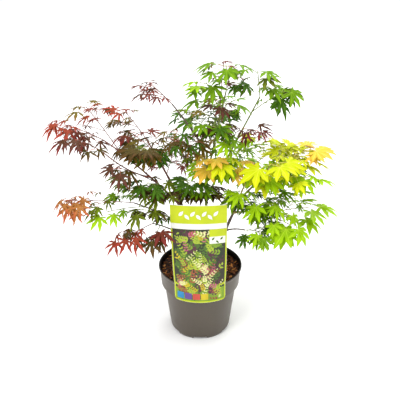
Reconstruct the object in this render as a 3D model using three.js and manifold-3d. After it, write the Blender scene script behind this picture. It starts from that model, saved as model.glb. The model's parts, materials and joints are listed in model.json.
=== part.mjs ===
// Potted japanese maple: three slim stems, red, green and yellow, in one nursery pot.
// Millimetres, +Z up, origin at the centre of the pot's underside, the label side faces -Y.
import * as THREE from 'three';
import Module from 'manifold-3d';

const wasm = await Module();
wasm.setup();

// Nursery pot, 19 cm across its rim
const potHeight = 164.3;
const rimRadius = 95;
const lipDepth = 4.5;
const collarTopRadius = 92.5;
const collarFootRadius = 89.5;
const collarFootHeight = 120;
const stepRadius = 82.4;
const stepHeight = 113;
const bodyFootRadius = 69.5;
const bodyFootHeight = 7;
const footRadius = 67;
const wall = 1.7;
const footRing = 7;
const chamfer = 1;
const floorHeight = 6;
const floorThick = 2.2;
const bossRadius = 16;
const notchCount = 6;
const notchWidth = 30;
const notchHeight = 5.2;
const potSegments = 40;

// Clear space between any two pieces, and past the end of a limb that another one carries on
const gap = 0.3;
const endGap = 0.39;
const leastLift = 0.04;

// Vertices this near each other, in ten-thousandths of a millimetre, are one
const perVertex = 10000;
const onAxis = 0.0001;

// Growing mix with its bark top, level round each stem
const mixTop = 148;
const mixDip = 2.2;
const levelRound = 22;
const mixRings = 6;
const mixSegments = 24;
const mixSeed = 9241;

// Plant label
const labelWidth = 119;
const labelFoot = 123;
const labelTop = 365;
const labelThick = 1;
const labelBack = 95.9;
const labelTopCurve = 300;
const labelLean = 0.016;
const labelCorner = 9;
const labelRows = 6;
const labelColumns = 10;
const strapWidth = 22;
const strapTop = 170;
const strapReach = 13;
const strapFoot = 128;

// Wood
const limbSides = 6;
const limbSteps = 6;
const nearlyAlong = 0.95;
const flare = 2.6;
const flareHeight = 9;
const flareRing = 0.35;
const twigSides = 4;
const twigSteps = 4;
const sideSteps = 2;
const twigRoot = 1.2;
const twigEnd = 0.85;
const sideRadius = 0.68;
const stalkRadius = 0.45;
const twigArch = 5;
const firstSide = 0.4;
const sideSpacing = 0.22;
const sideTurn = [40, 62];
const sidePitch = [0, 26];
const sideShare = [0.42, 0.62];
const shortestSide = 24;
const sideArch = 0.08;

// Leaves: shares are of the leaf's length, angles are in degrees
const leafBase = 0.1;
const leafThick = 0.032;
const bayLift = 0.02;
const stalkShare = [0.5, 0.8];
const sizeSpread = [0.88, 1.14];
const seatSpread = 14;
const pitchSpread = 12;
const turnSpread = 22;
const droopSpread = 16;
const rollSpread = 20;
const endSeat = 0.97;
const endPitch = 4;
const pairSeat = 0.94;
const pairSpacing = 0.3;
const widePair = { turn: 64, pitches: [6, 6] };
const closePair = { turn: 40, pitches: [32, -18] };

// Room: each leaf is covered by balls, and a leaf that finds no room is tried again smaller
const leafTries = 7;
const shrink = 0.91;
const ballSpacing = 4;
const tipBalls = 5;
const midBall = 0.13;
const tipBall = 0.05;
const clearOfWood = 0.6;
const clearOfPot = 2;
const clearBehindLabel = 14;
const sameBlades = 0.8;
const ownWood = 0.5;
const firstSeed = 4177;
const seedStep = 613;
const seedFactor = 16807;
const seedSpan = 2147483647;

// Lobes as [degrees from the midrib, length], how far out the bays between them lie, how far tips bend
// down. The red leaves are cut deepest, and the yellow ones are broadest.
const kinds = {
  red: { lobes: [[0, 1], [41, 0.9], [87, 0.64]], bay: 0.27, cup: [0.2, 0.42] },
  green: { lobes: [[0, 1], [38, 0.93], [78, 0.72]], bay: 0.31, cup: [0.14, 0.32] },
  yellow: { lobes: [[0, 1], [37, 0.92], [75, 0.76]], bay: 0.38, cup: [0.1, 0.26] },
};
const tints = {
  red: '#b8483a', crimson: '#8e2f2c', purple: '#4d2c28', brown: '#4a3417',
  bronze: '#7c5a1e', olive: '#5f7417', green: '#3f7d12', dark: '#1d4f16',
  lime: '#8fbe10', yellow: '#d3d318', peach: '#e3b356', orange: '#d0643a',
};
const woodTints = { red: '#4a2c24', green: '#5a7a2a', yellow: '#8a7a2c', dark: '#3b2f25' };

// Stems: name, foot on the mix, tip, radius at foot and tip, sideways bow at mid length, wood.
const stems = [
  ['stem_red', [-20, 2], [-44, 0, 330], [4.4, 3], [9, 0], 'dark'],
  ['stem_green', [4, 20], [14, 10, 435], [4.6, 2.6], [7, 4], 'green'],
  ['stem_yellow', [26, -4], [87, -5, 333], [4.2, 2.8], [-10, -2], 'dark'],
].map(([name, foot, tip, radius, bow, wood]) => ({ name, foot, tip, radius, bow, wood }));

// Boughs: name, parent, how far along it, tip, radius at root and tip, bow at mid length, wood.
const boughs = [
  ['bough_left', 'stem_red', 0.9, [-138, -32, 431], [2.5, 1.7], [0, 0, 6], 'red'],
  ['bough_left_high', 'bough_left', 1, [-202, -12, 475], [1.7, 1.3], [0, 0, 4], 'red'],
  ['bough_left_low', 'bough_left', 0.66, [-196, -60, 468], [1.5, 1.2], [0, -16, -10], 'red'],
  ['bough_bronze', 'stem_red', 1, [-112, 6, 467], [2.6, 1.6], [0, 0, 4], 'red'],
  ['bough_top_left', 'stem_green', 1, [-59, 28, 539], [2.4, 1.4], [0, 0, 8], 'dark'],
  ['bough_top', 'stem_green', 0.82, [52, -6, 578], [2.3, 1.4], [0, 0, 0], 'green'],
  ['bough_top_right', 'stem_green', 0.66, [122, 14, 558], [2.3, 1.4], [0, 0, 2], 'green'],
  ['bough_yellow', 'stem_yellow', 1, [152, -12, 406], [2.5, 1.5], [0, 0, 5], 'yellow'],
  ['bough_right', 'stem_yellow', 0.84, [149, -40, 317], [2.1, 1.4], [0, 0, 5], 'yellow'],
  ['bough_low_right', 'stem_yellow', 0.62, [95, -62, 288], [1.8, 1.3], [0, 0, 6], 'dark'],
  ['bough_low_left', 'stem_red', 0.66, [-140, -46, 345], [2, 1.4], [0, 0, 8], 'dark'],
  ['bough_drop', 'stem_red', 0.5, [-100, -62, 304], [1.8, 1.3], [0, 0, 10], 'dark'],
  ['bough_back_left', 'stem_red', 0.78, [-96, 104, 386], [2.1, 1.4], [0, 0, 8], 'red'],
  ['bough_back', 'stem_green', 0.74, [4, 112, 452], [2.2, 1.4], [0, 0, 6], 'green'],
  ['bough_back_right', 'stem_yellow', 0.72, [122, 96, 366], [2.1, 1.4], [0, 0, 8], 'yellow'],
].map(([name, from, at, tip, radius, bow, wood]) => ({ name, from, at, tip, radius, bow, wood }));

// Leaf masses: name after leaves_, kind of leaf, parent, how far along it, end of the main twig,
// pairs of leaves, side twigs, leaf length, droop in degrees, reach from the main twig, tints from
// the tip of the mass to its root.
const masses = [
  ['red_tip', 'red', 'bough_left_high', 1, [-268, -24, 510], 2, 1, 40, 18, 88, 'red crimson purple'],
  ['red_low', 'red', 'bough_left_low', 1, [-242, -84, 506], 2, 0, 36, 12, 84, 'purple crimson brown'],
  ['red_top', 'red', 'bough_left_high', 0.45, [-238, 26, 534], 2, 2, 36, 8, 86, 'bronze red brown'],
  ['red_hang', 'red', 'bough_left', 0.52, [-164, -74, 440], 2, 0, 38, 14, 80, 'purple brown'],
  ['bronze', 'red', 'bough_bronze', 1, [-158, 28, 522], 2, 1, 34, 4, 86, 'red bronze brown'],
  ['olive', 'green', 'bough_bronze', 0.7, [-120, -40, 470], 2, 1, 38, 14, 84, 'brown bronze dark'],
  ['dark_left', 'green', 'bough_left', 0.28, [-104, -66, 402], 2, 1, 40, 18, 86, 'dark olive brown'],
  ['top_left', 'red', 'bough_top_left', 1, [-102, 34, 578], 2, 1, 32, 2, 80, 'crimson purple crimson'],
  ['top_red', 'red', 'bough_top', 0.6, [48, 50, 620], 2, 0, 32, 0, 84, 'crimson purple bronze'],
  ['mid_left', 'red', 'bough_top_left', 0.3, [-50, -38, 482], 2, 1, 40, 16, 88, 'brown dark bronze'],
  ['green_top', 'green', 'bough_top', 1, [50, -32, 640], 2, 0, 42, 16, 96, 'green green dark'],
  ['lime_top', 'green', 'bough_top', 0.74, [12, -30, 604], 2, 0, 40, 14, 90, 'lime green purple'],
  ['right_top', 'green', 'bough_top_right', 1, [114, -6, 620], 2, 0, 42, 6, 94, 'green olive green'],
  ['right_droop', 'green', 'bough_top_right', 0.86, [172, 22, 568], 2, 0, 38, 40, 90, 'green dark green'],
  ['right_red', 'red', 'bough_top_right', 0.6, [110, -36, 506], 2, 0, 34, 2, 86, 'crimson purple brown'],
  ['mid_top', 'green', 'bough_top', 0.4, [12, -50, 524], 2, 1, 38, 14, 88, 'green dark purple'],
  ['mid_high', 'green', 'bough_top_right', 0.3, [72, -48, 506], 2, 0, 38, 14, 88, 'green lime green'],
  ['yellow_tip', 'yellow', 'bough_yellow', 1, [224, 4, 444], 2, 1, 42, 6, 94, 'peach yellow yellow'],
  ['yellow_out', 'yellow', 'bough_yellow', 0.84, [220, -46, 404], 2, 1, 44, 14, 94, 'lime yellow lime'],
  ['yellow_mid', 'yellow', 'bough_yellow', 0.5, [146, -60, 442], 3, 1, 48, 12, 94, 'yellow yellow lime'],
  ['peach', 'yellow', 'stem_green', 0.86, [38, -54, 452], 2, 1, 42, 10, 90, 'yellow peach lime'],
  ['right_low', 'yellow', 'bough_right', 1, [232, -38, 330], 2, 1, 44, 24, 94, 'lime lime green'],
  ['right_down', 'yellow', 'bough_right', 0.78, [184, -98, 322], 2, 1, 44, 40, 92, 'lime lime lime'],
  ['right_mid', 'green', 'bough_right', 0.46, [136, -76, 360], 2, 1, 42, 20, 92, 'lime green green'],
  ['low_right', 'green', 'bough_low_right', 1, [132, -106, 306], 2, 1, 36, 24, 88, 'lime green dark'],
  ['low_tip', 'red', 'bough_low_left', 1, [-268, -62, 358], 2, 1, 40, 34, 88, 'orange orange olive'],
  ['low_mid', 'green', 'bough_low_left', 0.8, [-190, -98, 352], 1, 0, 38, 26, 88, 'lime green olive'],
  ['low_green', 'green', 'bough_low_left', 0.6, [-164, 6, 374], 2, 1, 36, 12, 88, 'olive green brown'],
  ['low_in', 'green', 'bough_low_left', 0.34, [-112, -90, 352], 2, 0, 38, 18, 88, 'olive brown dark'],
  ['drop_left', 'red', 'bough_drop', 1, [-154, -102, 290], 2, 1, 38, 36, 90, 'red red brown'],
  ['drop_mid', 'green', 'bough_drop', 0.8, [-96, -112, 294], 2, 0, 36, 30, 88, 'brown crimson olive'],
  ['mid_dark', 'green', 'stem_green', 0.66, [-16, -46, 398], 2, 1, 38, 6, 90, 'dark green brown'],
  ['mid_right', 'green', 'stem_yellow', 0.9, [82, -60, 382], 2, 1, 38, 18, 88, 'lime green dark'],
  ['back_red', 'red', 'bough_back_left', 1, [-150, 150, 418], 2, 1, 42, 14, 106, 'crimson brown bronze'],
  ['back_dark', 'red', 'bough_back_left', 0.66, [-66, 150, 364], 2, 2, 42, 16, 102, 'brown olive crimson'],
  ['back_green', 'green', 'bough_back', 1, [4, 172, 452], 2, 1, 42, 14, 106, 'green olive dark'],
  ['back_high', 'green', 'bough_back', 0.7, [62, 128, 506], 2, 1, 42, 10, 102, 'green dark bronze'],
  ['back_yellow', 'yellow', 'bough_back_right', 1, [178, 138, 392], 2, 1, 46, 14, 104, 'yellow yellow lime'],
  ['back_low', 'green', 'bough_back_right', 0.66, [84, 156, 346], 2, 1, 44, 20, 102, 'lime green dark'],
].map(([place, kind, from, at, tip, pairs, side, leaf, droop, reach, mixed]) => ({
  name: `leaves_${place}`, kind, from, at, tip, pairs, side, leaf, droop, reach, tints: mixed.split(' '),
}));

const at3 = (x, y, z) => new THREE.Vector3(x, y, z);
const up = at3(0, 0, 1);
const mix = (a, b, t) => a + (b - a) * t;
const radians = (degrees) => degrees * Math.PI / 180;

// A unit vector from its bearing in plan and its pitch above the level.
function aim(bearing, pitch) {
  return at3(Math.cos(bearing) * Math.cos(pitch), Math.sin(bearing) * Math.cos(pitch), Math.sin(pitch));
}

// The same draw grows the same plant every time.
function seeded(seed) {
  let state = seed;
  return (low, high) => {
    state = (state * seedFactor) % seedSpan;
    return mix(low, high, state / seedSpan);
  };
}

function toSolid(points, faces) {
  return new wasm.Manifold(new wasm.Mesh({
    numProp: 3,
    vertProperties: new Float32Array(points.flatMap((p) => [p.x, p.y, p.z])),
    triVerts: new Uint32Array(faces.flat()),
  }));
}

function fuse(solids) {
  return solids.reduce((whole, one) => whole.add(one));
}

// Loose scraps go; the largest piece is the mass.
function largest(solid) {
  const pieces = solid.decompose();
  return pieces.reduce((best, one) => (one.volume() > best.volume() ? one : best));
}

function toMesh(name, solid, colour, roughness) {
  const source = solid.getMesh();
  const geometry = new THREE.BufferGeometry();
  geometry.setAttribute('position', new THREE.BufferAttribute(source.vertProperties, 3));
  geometry.setIndex(new THREE.BufferAttribute(source.triVerts, 1));
  geometry.computeVertexNormals();
  const material = new THREE.MeshStandardMaterial({ color: colour, roughness, metalness: 0 });
  const mesh = new THREE.Mesh(geometry, material);
  mesh.name = name;
  return mesh;
}

// A solid from a plain shape: equal vertices are merged, and faces that this leaves flat are dropped.
function geometrySolid(geometry) {
  const position = geometry.getAttribute('position');
  const index = geometry.getIndex();
  const keys = new Map();
  const points = [];
  const ids = [];
  for (let i = 0; i < position.count; i += 1) {
    const p = new THREE.Vector3().fromBufferAttribute(position, i);
    const key = p.toArray().map((value) => Math.round(value * perVertex)).join();
    if (!keys.has(key)) {
      keys.set(key, points.length);
      points.push(p);
    }
    ids.push(keys.get(key));
  }
  const faces = [];
  for (let i = 0; i < index.count; i += 3) {
    const [a, b, c] = [0, 1, 2].map((k) => ids[index.getX(i + k)]);
    if (a !== b && b !== c && a !== c) faces.push([a, b, c]);
  }
  return toSolid(points, faces);
}

// A round solid from a closed outline of [radius, height] pairs, run anticlockwise.
function turned(outline, segments) {
  const closed = [...outline, outline[0]].map(([r, h]) => new THREE.Vector2(r, h));
  const geometry = new THREE.LatheGeometry(closed, segments);
  geometry.rotateX(Math.PI / 2);
  return geometrySolid(geometry);
}

// A curve of three control places, cut into equal steps of its own measure.
function bend(start, middle, end, steps) {
  const curve = new THREE.QuadraticBezierCurve3(start, middle, end);
  return Array.from({ length: steps + 1 }, (_, i) => curve.getPoint(i / steps));
}

// A tapering solid round a line of points. A level foot is cut flat on the ground.
function limbSolid(line, radii, sides, levelFoot = false) {
  const points = [];
  const faces = [];
  let side = at3(1, 0, 0);
  line.forEach((centre, i) => {
    const before = line[Math.max(i - 1, 0)];
    const after = line[Math.min(i + 1, line.length - 1)];
    const along = after.clone().sub(before).normalize();
    if (i === 0 && levelFoot) along.copy(up);
    if (Math.abs(side.dot(along)) > nearlyAlong) side = at3(0, 1, 0);
    side = side.clone().addScaledVector(along, -side.dot(along)).normalize();
    const other = along.clone().cross(side);
    for (let k = 0; k < sides; k += 1) {
      const angle = 2 * Math.PI * k / sides;
      points.push(centre.clone()
        .addScaledVector(side, Math.cos(angle) * radii[i])
        .addScaledVector(other, Math.sin(angle) * radii[i]));
    }
  });
  const last = line.length - 1;
  for (let i = 0; i < last; i += 1) {
    for (let k = 0; k < sides; k += 1) {
      const a = i * sides + k;
      const b = i * sides + (k + 1) % sides;
      faces.push([a, b, b + sides], [a, b + sides, a + sides]);
    }
  }
  for (let k = 1; k < sides - 1; k += 1) {
    faces.push([0, k + 1, k]);
    faces.push([last * sides, last * sides + k, last * sides + k + 1]);
  }
  return toSolid(points, faces);
}

const taper = (from, to, steps) => Array.from({ length: steps + 1 }, (_, i) => mix(from, to, i / steps));

function pointOn(line, at) {
  const place = at * (line.length - 1);
  const i = Math.min(Math.floor(place), line.length - 2);
  return line[i].clone().lerp(line[i + 1], place - i);
}

function headingOn(line, at) {
  const i = Math.min(Math.floor(at * (line.length - 1)), line.length - 2);
  return line[i + 1].clone().sub(line[i]).normalize();
}

function radiusOn(limb, at) {
  const place = at * (limb.radii.length - 1);
  const i = Math.min(Math.floor(place), limb.radii.length - 2);
  return mix(limb.radii[i], limb.radii[i + 1], place - i);
}

// Where a child begins: just past its parent's end, or just off its side.
function beginOn(parent, at, toward, radius) {
  const root = pointOn(parent.line, at);
  const heading = headingOn(parent.line, at);
  const out = toward.clone().sub(root).normalize();
  const slope = Math.abs(out.dot(heading));
  const lift = Math.sqrt(Math.max(1 - slope * slope, leastLift));
  if (at === 1) return root.addScaledVector(heading, endGap + radius * lift);
  return root.addScaledVector(out, (radiusOn(parent, at) + gap + radius * slope) / lift);
}

const limbs = new Map();

function growStem(row) {
  const foot = at3(...row.foot, mixTop + gap);
  const tip = at3(...row.tip);
  const middle = foot.clone().lerp(tip, 0.5).add(at3(...row.bow, 0));
  const line = bend(foot, middle, tip, limbSteps + 2);
  line.splice(1, 0, foot.clone().lerp(line[1], flareRing));
  const radii = line.map((p, i) => mix(row.radius[0], row.radius[1], i / (line.length - 1))
    + flare * Math.exp(-(p.z - foot.z) / flareHeight));
  limbs.set(row.name, { ...row, line, radii });
}

function growBough(row) {
  const parent = limbs.get(row.from);
  const tip = at3(...row.tip);
  const root = pointOn(parent.line, row.at);
  const middle = root.clone().lerp(tip, 0.5).add(at3(...row.bow));
  const start = beginOn(parent, row.at, middle, row.radius[0]);
  const line = bend(start, middle, tip, limbSteps);
  limbs.set(row.name, { ...row, line, radii: taper(row.radius[0], row.radius[1], limbSteps) });
}

// Room is kept as balls: a leaf or twig may not meet another mass's balls, nor any limb.
const taken = [];

function ballsAlong(line, radius) {
  const balls = [];
  for (let i = 0; i < line.length - 1; i += 1) {
    const count = Math.max(1, Math.ceil(line[i].distanceTo(line[i + 1]) / ballSpacing));
    for (let k = 0; k < count; k += 1) {
      balls.push([line[i].clone().lerp(line[i + 1], k / count), radius + ballSpacing / 2]);
    }
  }
  balls.push([line[line.length - 1].clone(), radius + ballSpacing / 4]);
  return balls;
}

function distanceToSegment(p, a, b) {
  const run = b.clone().sub(a);
  const t = Math.min(1, Math.max(0, p.clone().sub(a).dot(run) / run.lengthSq()));
  return p.distanceTo(a.clone().addScaledVector(run, t));
}

function clearOfLimbs(balls) {
  return [...limbs.values()].every((limb) => limb.line.slice(1).every((end, i) => balls.every(([p, r]) => (
    distanceToSegment(p, limb.line[i], end) > r + limb.radii[i] + clearOfWood))));
}

function clearOfPotAndLabel(balls) {
  return balls.every(([p, r]) => {
    const offPot = p.z - r > potHeight + clearOfPot || Math.hypot(p.x, p.y) - r > rimRadius + clearOfPot;
    const beside = Math.abs(p.x) - r > labelWidth / 2 + clearOfPot || p.z - r > labelTop + clearOfPot;
    const behind = p.y - r > -labelBack + clearBehindLabel;
    const before = p.y + r < -labelBack - labelThick - clearOfPot;
    return offPot && (beside || behind || before);
  });
}

function clearOfMasses(balls, owner, blade) {
  return taken.every((one) => {
    const own = one.owner === owner;
    if (own && !one.blade && !blade) return true;
    const share = own ? (one.blade && blade ? sameBlades : ownWood) : 1;
    return balls.every(([p, r]) => p.distanceTo(one.p) > share * (r + one.r));
  });
}

function take(balls, owner, blade) {
  balls.forEach(([p, r]) => taken.push({ p, r, owner, blade }));
}

// The outline of one leaf round the end of its stalk: lobe tips and the bays between them,
// anticlockwise from above, then the two sides of the stalk. The tips bend down.
function leafOutline(leaf) {
  const { centre, ahead, across, over, size, cup, bay, half } = leaf;
  const place = (angle, length, drop) => centre.clone()
    .addScaledVector(ahead, Math.cos(angle) * length * size)
    .addScaledVector(across, Math.sin(angle) * length * size)
    .addScaledVector(over, -drop * size);
  const lobes = [...half.slice(1).map(([degrees, length]) => [-degrees, length]).reverse(), ...half];
  const points = [];
  lobes.forEach(([degrees, length], i) => {
    points.push(place(radians(degrees), length, cup * length));
    if (i === lobes.length - 1) return;
    const [next, nextLength] = lobes[i + 1];
    points.push(place(radians((degrees + next) / 2), bay * (length + nextLength) / 2, -bayLift));
  });
  const base = place(Math.PI, leafBase, 0);
  points.push(base.clone().addScaledVector(across, stalkRadius), base.addScaledVector(across, -stalkRadius));
  return points;
}

// Stalk and blade as one solid: the blade is thick where its lobes meet and thin at its edge.
function leafSolid(leaf) {
  const rim = leafOutline(leaf);
  const rise = leaf.size * leafThick / 2;
  const count = rim.length;
  const [left, right] = [count - 2, count - 1];
  const [top, foot, keel, rootLeft, rootRight, rootKeel] = [0, 1, 2, 3, 4, 5].map((n) => count + n);
  const way = leaf.centre.clone().sub(leaf.root).normalize();
  const side = leaf.across.clone().addScaledVector(way, -leaf.across.dot(way)).setLength(stalkRadius);
  const lift = way.clone().cross(side);
  const points = [...rim,
    leaf.centre.clone().addScaledVector(leaf.over, rise),
    leaf.centre.clone().addScaledVector(leaf.over, -rise),
    rim[right].clone().lerp(rim[left], 0.5).addScaledVector(leaf.over, -stalkRadius),
    leaf.root.clone().add(side),
    leaf.root.clone().sub(side),
    leaf.root.clone().sub(lift)];
  const faces = rim.map((_, i) => [i, (i + 1) % count, top]);
  for (let i = 0; i < count; i += 1) {
    if (i !== left) faces.push([(i + 1) % count, i, foot]);
  }
  faces.push([right, keel, foot], [keel, left, foot]);
  faces.push([right, left, rootLeft], [right, rootLeft, rootRight]);
  faces.push([keel, right, rootRight], [keel, rootRight, rootKeel]);
  faces.push([left, keel, rootKeel], [left, rootKeel, rootLeft]);
  faces.push([rootRight, rootLeft, rootKeel]);
  return toSolid(points, faces);
}

function leafBalls(leaf) {
  const balls = [[leaf.centre.clone(), midBall * leaf.size]];
  leafOutline(leaf).slice(0, -2).filter((_, i) => i % 2 === 0).forEach((tip) => {
    for (let k = 1; k <= tipBalls; k += 1) {
      const along = k / tipBalls;
      balls.push([leaf.centre.clone().lerp(tip, along), mix(midBall, tipBall, along) * leaf.size]);
    }
  });
  return balls;
}

// One try at a leaf on its seat: the stalk first, then the blade, hanging by the mass's droop.
function poseLeaf(seat, mass, scale) {
  const { draw } = mass;
  const spread = (degrees) => draw(-degrees, degrees);
  const size = mass.leaf * scale * draw(...sizeSpread);
  const bearing = seat.bearing + radians(spread(seatSpread));
  const way = aim(bearing, radians(seat.pitch + spread(pitchSpread)));
  const centre = seat.root.clone().addScaledVector(way, size * draw(...stalkShare));
  const turn = bearing + radians(spread(turnSpread));
  const ahead = aim(turn, -radians(mass.droop + spread(droopSpread)));
  const level = at3(-Math.sin(turn), Math.cos(turn), 0);
  const roll = radians(spread(rollSpread));
  const tilted = ahead.clone().cross(level).multiplyScalar(Math.sin(roll));
  const across = level.multiplyScalar(Math.cos(roll)).add(tilted);
  const over = ahead.clone().cross(across);
  const { lobes, bay, cup } = kinds[mass.kind];
  return { centre, ahead, across, over, size, half: lobes, bay, root: seat.root, cup: draw(...cup) };
}

function withinReach(balls, mass) {
  return balls.every(([p]) => mass.axis.slice(1).some((end, i) => (
    distanceToSegment(p, mass.axis[i], end) < mass.reach)));
}

// Seats for one leaf at a twig's end and opposite pairs below it, spread wide and close by turns.
function seatsOn(line, pairs, firstTurn) {
  const seats = [];
  const add = (at, sideways, pitch) => {
    const heading = headingOn(line, at);
    const bearing = Math.atan2(heading.y, heading.x) + radians(sideways);
    seats.push({ root: pointOn(line, at), bearing, pitch });
  };
  add(endSeat, 0, endPitch);
  for (let k = 0; k < pairs; k += 1) {
    const { turn, pitches } = (k + firstTurn) % 2 === 0 ? widePair : closePair;
    add(pairSeat - pairSpacing * k, turn, pitches[0]);
    add(pairSeat - pairSpacing * k, -turn, pitches[1]);
  }
  return seats;
}

function startMass(mass, order) {
  const parent = limbs.get(mass.from);
  const tip = at3(...mass.tip);
  const root = pointOn(parent.line, mass.at);
  const middle = root.clone().lerp(tip, 0.5).addScaledVector(up, twigArch);
  const axis = bend(beginOn(parent, mass.at, middle, twigRoot), middle, tip, twigSteps);
  const grown = { ...mass, axis, draw: seeded(firstSeed + seedStep * order), twigs: [axis], leaves: [] };
  take(ballsAlong(axis, twigRoot), mass.name, false);
  return grown;
}

// Side twigs branch left and right of the main twig by turns.
function branchMass(mass) {
  const span = mass.axis[0].distanceTo(mass.axis[twigSteps]);
  for (let k = 0; k < mass.side; k += 1) {
    const at = firstSide + sideSpacing * k;
    const root = pointOn(mass.axis, at);
    const heading = headingOn(mass.axis, at);
    const turn = (k % 2 === 0 ? 1 : -1) * mass.draw(...sideTurn);
    const way = aim(Math.atan2(heading.y, heading.x) + radians(turn), radians(mass.draw(...sidePitch)));
    const length = Math.max(shortestSide, span * mass.draw(...sideShare));
    const end = root.clone().addScaledVector(way, length);
    const middle = root.clone().lerp(end, 0.5).addScaledVector(up, length * sideArch);
    const line = bend(root, middle, end, sideSteps);
    const balls = ballsAlong(line, twigEnd).slice(2);
    if (clearOfLimbs(balls) && clearOfPotAndLabel(balls) && clearOfMasses(balls, mass.name, false)) {
      take(balls, mass.name, false);
      mass.twigs.push(line);
    }
  }
}

// A leaf is kept if it stays in its mass's reach and meets no limb, pot, label or other mass.
function leafMass(mass) {
  const seats = mass.twigs.flatMap((line, i) => seatsOn(line, i === 0 ? mass.pairs : 1, i));
  seats.forEach((seat) => {
    for (let attempt = 0; attempt < leafTries; attempt += 1) {
      const leaf = poseLeaf(seat, mass, shrink ** attempt);
      const stalk = ballsAlong([seat.root, leaf.centre], stalkRadius).slice(1, -2);
      const blade = leafBalls(leaf);
      const both = [...stalk, ...blade];
      if (withinReach(both, mass) && clearOfLimbs(both) && clearOfPotAndLabel(both)
        && clearOfMasses(stalk, mass.name, false) && clearOfMasses(blade, mass.name, true)) {
        take(stalk, mass.name, false);
        take(blade, mass.name, true);
        mass.leaves.push(leaf);
        return;
      }
    }
  });
}

function massSolid(mass) {
  const twigs = mass.twigs.map((line, i) => {
    const radii = i === 0 ? taper(twigRoot, twigEnd, twigSteps) : taper(sideRadius, sideRadius, sideSteps);
    return limbSolid(line, radii, twigSides);
  });
  return largest(fuse([...twigs, ...mass.leaves.map(leafSolid)]));
}

// The wall's outer radius below the collar.
function bodyRadius(height) {
  return mix(bodyFootRadius, stepRadius, (height - bodyFootHeight) / (stepHeight - bodyFootHeight));
}

function potSolid() {
  const lipFoot = potHeight - lipDepth;
  const floorTop = floorHeight + floorThick;
  const outline = [
    [onAxis, 0], [bossRadius, 0],
    [bossRadius + chamfer, floorHeight], [footRadius - footRing, floorHeight],
    [footRadius - footRing + chamfer, 0], [footRadius, 0],
    [bodyFootRadius, bodyFootHeight], [stepRadius, stepHeight],
    [collarFootRadius, collarFootHeight], [collarTopRadius, lipFoot - 3 * chamfer],
    [rimRadius, lipFoot], [rimRadius, potHeight - chamfer], [rimRadius - chamfer, potHeight],
    [collarTopRadius - wall + chamfer, potHeight], [collarTopRadius - wall, lipFoot],
    [collarFootRadius - wall, collarFootHeight + wall / 3], [stepRadius - wall, stepHeight + wall / 3],
    [bodyRadius(floorTop) - wall, floorTop], [onAxis, floorTop],
  ];
  const notch = new THREE.BoxGeometry(notchWidth, footRing * 3, notchHeight * 2);
  let pot = turned(outline, potSegments);
  for (let k = 0; k < notchCount; k += 1) {
    const turn = 2 * Math.PI * k / notchCount - Math.PI / 2;
    const placed = notch.clone().rotateZ(turn - Math.PI / 2)
      .translate(Math.cos(turn) * footRadius, Math.sin(turn) * footRadius, 0);
    pot = pot.subtract(geometrySolid(placed));
  }
  return pot;
}

function boxSolid(low, high) {
  const size = high.clone().sub(low);
  const middle = low.clone().lerp(high, 0.5);
  return geometrySolid(new THREE.BoxGeometry(...size).translate(...middle));
}

// The card's curve opens from the pot's own radius at the rim to nearly flat at its top.
function labelPlace(across, height, depth) {
  const lift = Math.max(0, (height - potHeight) / (labelTop - potHeight));
  const curve = mix(labelBack, labelTopCurve, lift);
  const angle = across / (curve + depth);
  const x = Math.sin(angle) * (curve + depth) - labelLean * (height - labelFoot);
  return at3(x, curve - labelBack - Math.cos(angle) * (curve + depth), height);
}

function cardSolid() {
  const points = [];
  const faces = [];
  const width = labelColumns + 1;
  [0, labelThick].forEach((depth) => {
    for (let j = 0; j <= labelRows; j += 1) {
      for (let i = 0; i < width; i += 1) {
        const across = mix(-labelWidth / 2, labelWidth / 2, i / labelColumns);
        const inset = Math.max(0, Math.abs(across) - (labelWidth / 2 - labelCorner));
        const rounded = j === 0 ? labelCorner - Math.sqrt(labelCorner ** 2 - inset ** 2) : 0;
        points.push(labelPlace(across, mix(labelFoot, labelTop, j / labelRows) + rounded, depth));
      }
    }
  });
  const sheet = width * (labelRows + 1);
  for (let j = 0; j < labelRows; j += 1) {
    for (let i = 0; i < labelColumns; i += 1) {
      const a = j * width + i;
      const b = sheet + a;
      faces.push([a, a + width + 1, a + 1], [a, a + width, a + width + 1]);
      faces.push([b, b + 1, b + width + 1], [b, b + width + 1, b + width]);
    }
  }
  const rim = [];
  for (let i = 0; i < labelColumns; i += 1) rim.push(i);
  for (let j = 0; j < labelRows; j += 1) rim.push(j * width + labelColumns);
  for (let i = labelColumns; i > 0; i -= 1) rim.push(labelRows * width + i);
  for (let j = labelRows; j > 0; j -= 1) rim.push(j * width);
  rim.forEach((a, n) => {
    const b = rim[(n + 1) % rim.length];
    faces.push([a, b, sheet + b], [a, sheet + b, sheet + a]);
  });
  return toSolid(points, faces);
}

// A strap behind the card goes over the rim and down into the mix.
const strapHalf = strapWidth / 2;
const strapInner = -labelBack + strapReach;

function labelSolid() {
  const front = -labelBack - labelThick / 2;
  const end = at3(strapHalf, strapInner, strapTop);
  const bridge = boxSolid(at3(-strapHalf, front, strapTop - labelThick), end);
  const leg = boxSolid(at3(-strapHalf, strapInner - labelThick, strapFoot), end);
  return fuse([cardSolid(), bridge, leg]);
}

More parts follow.
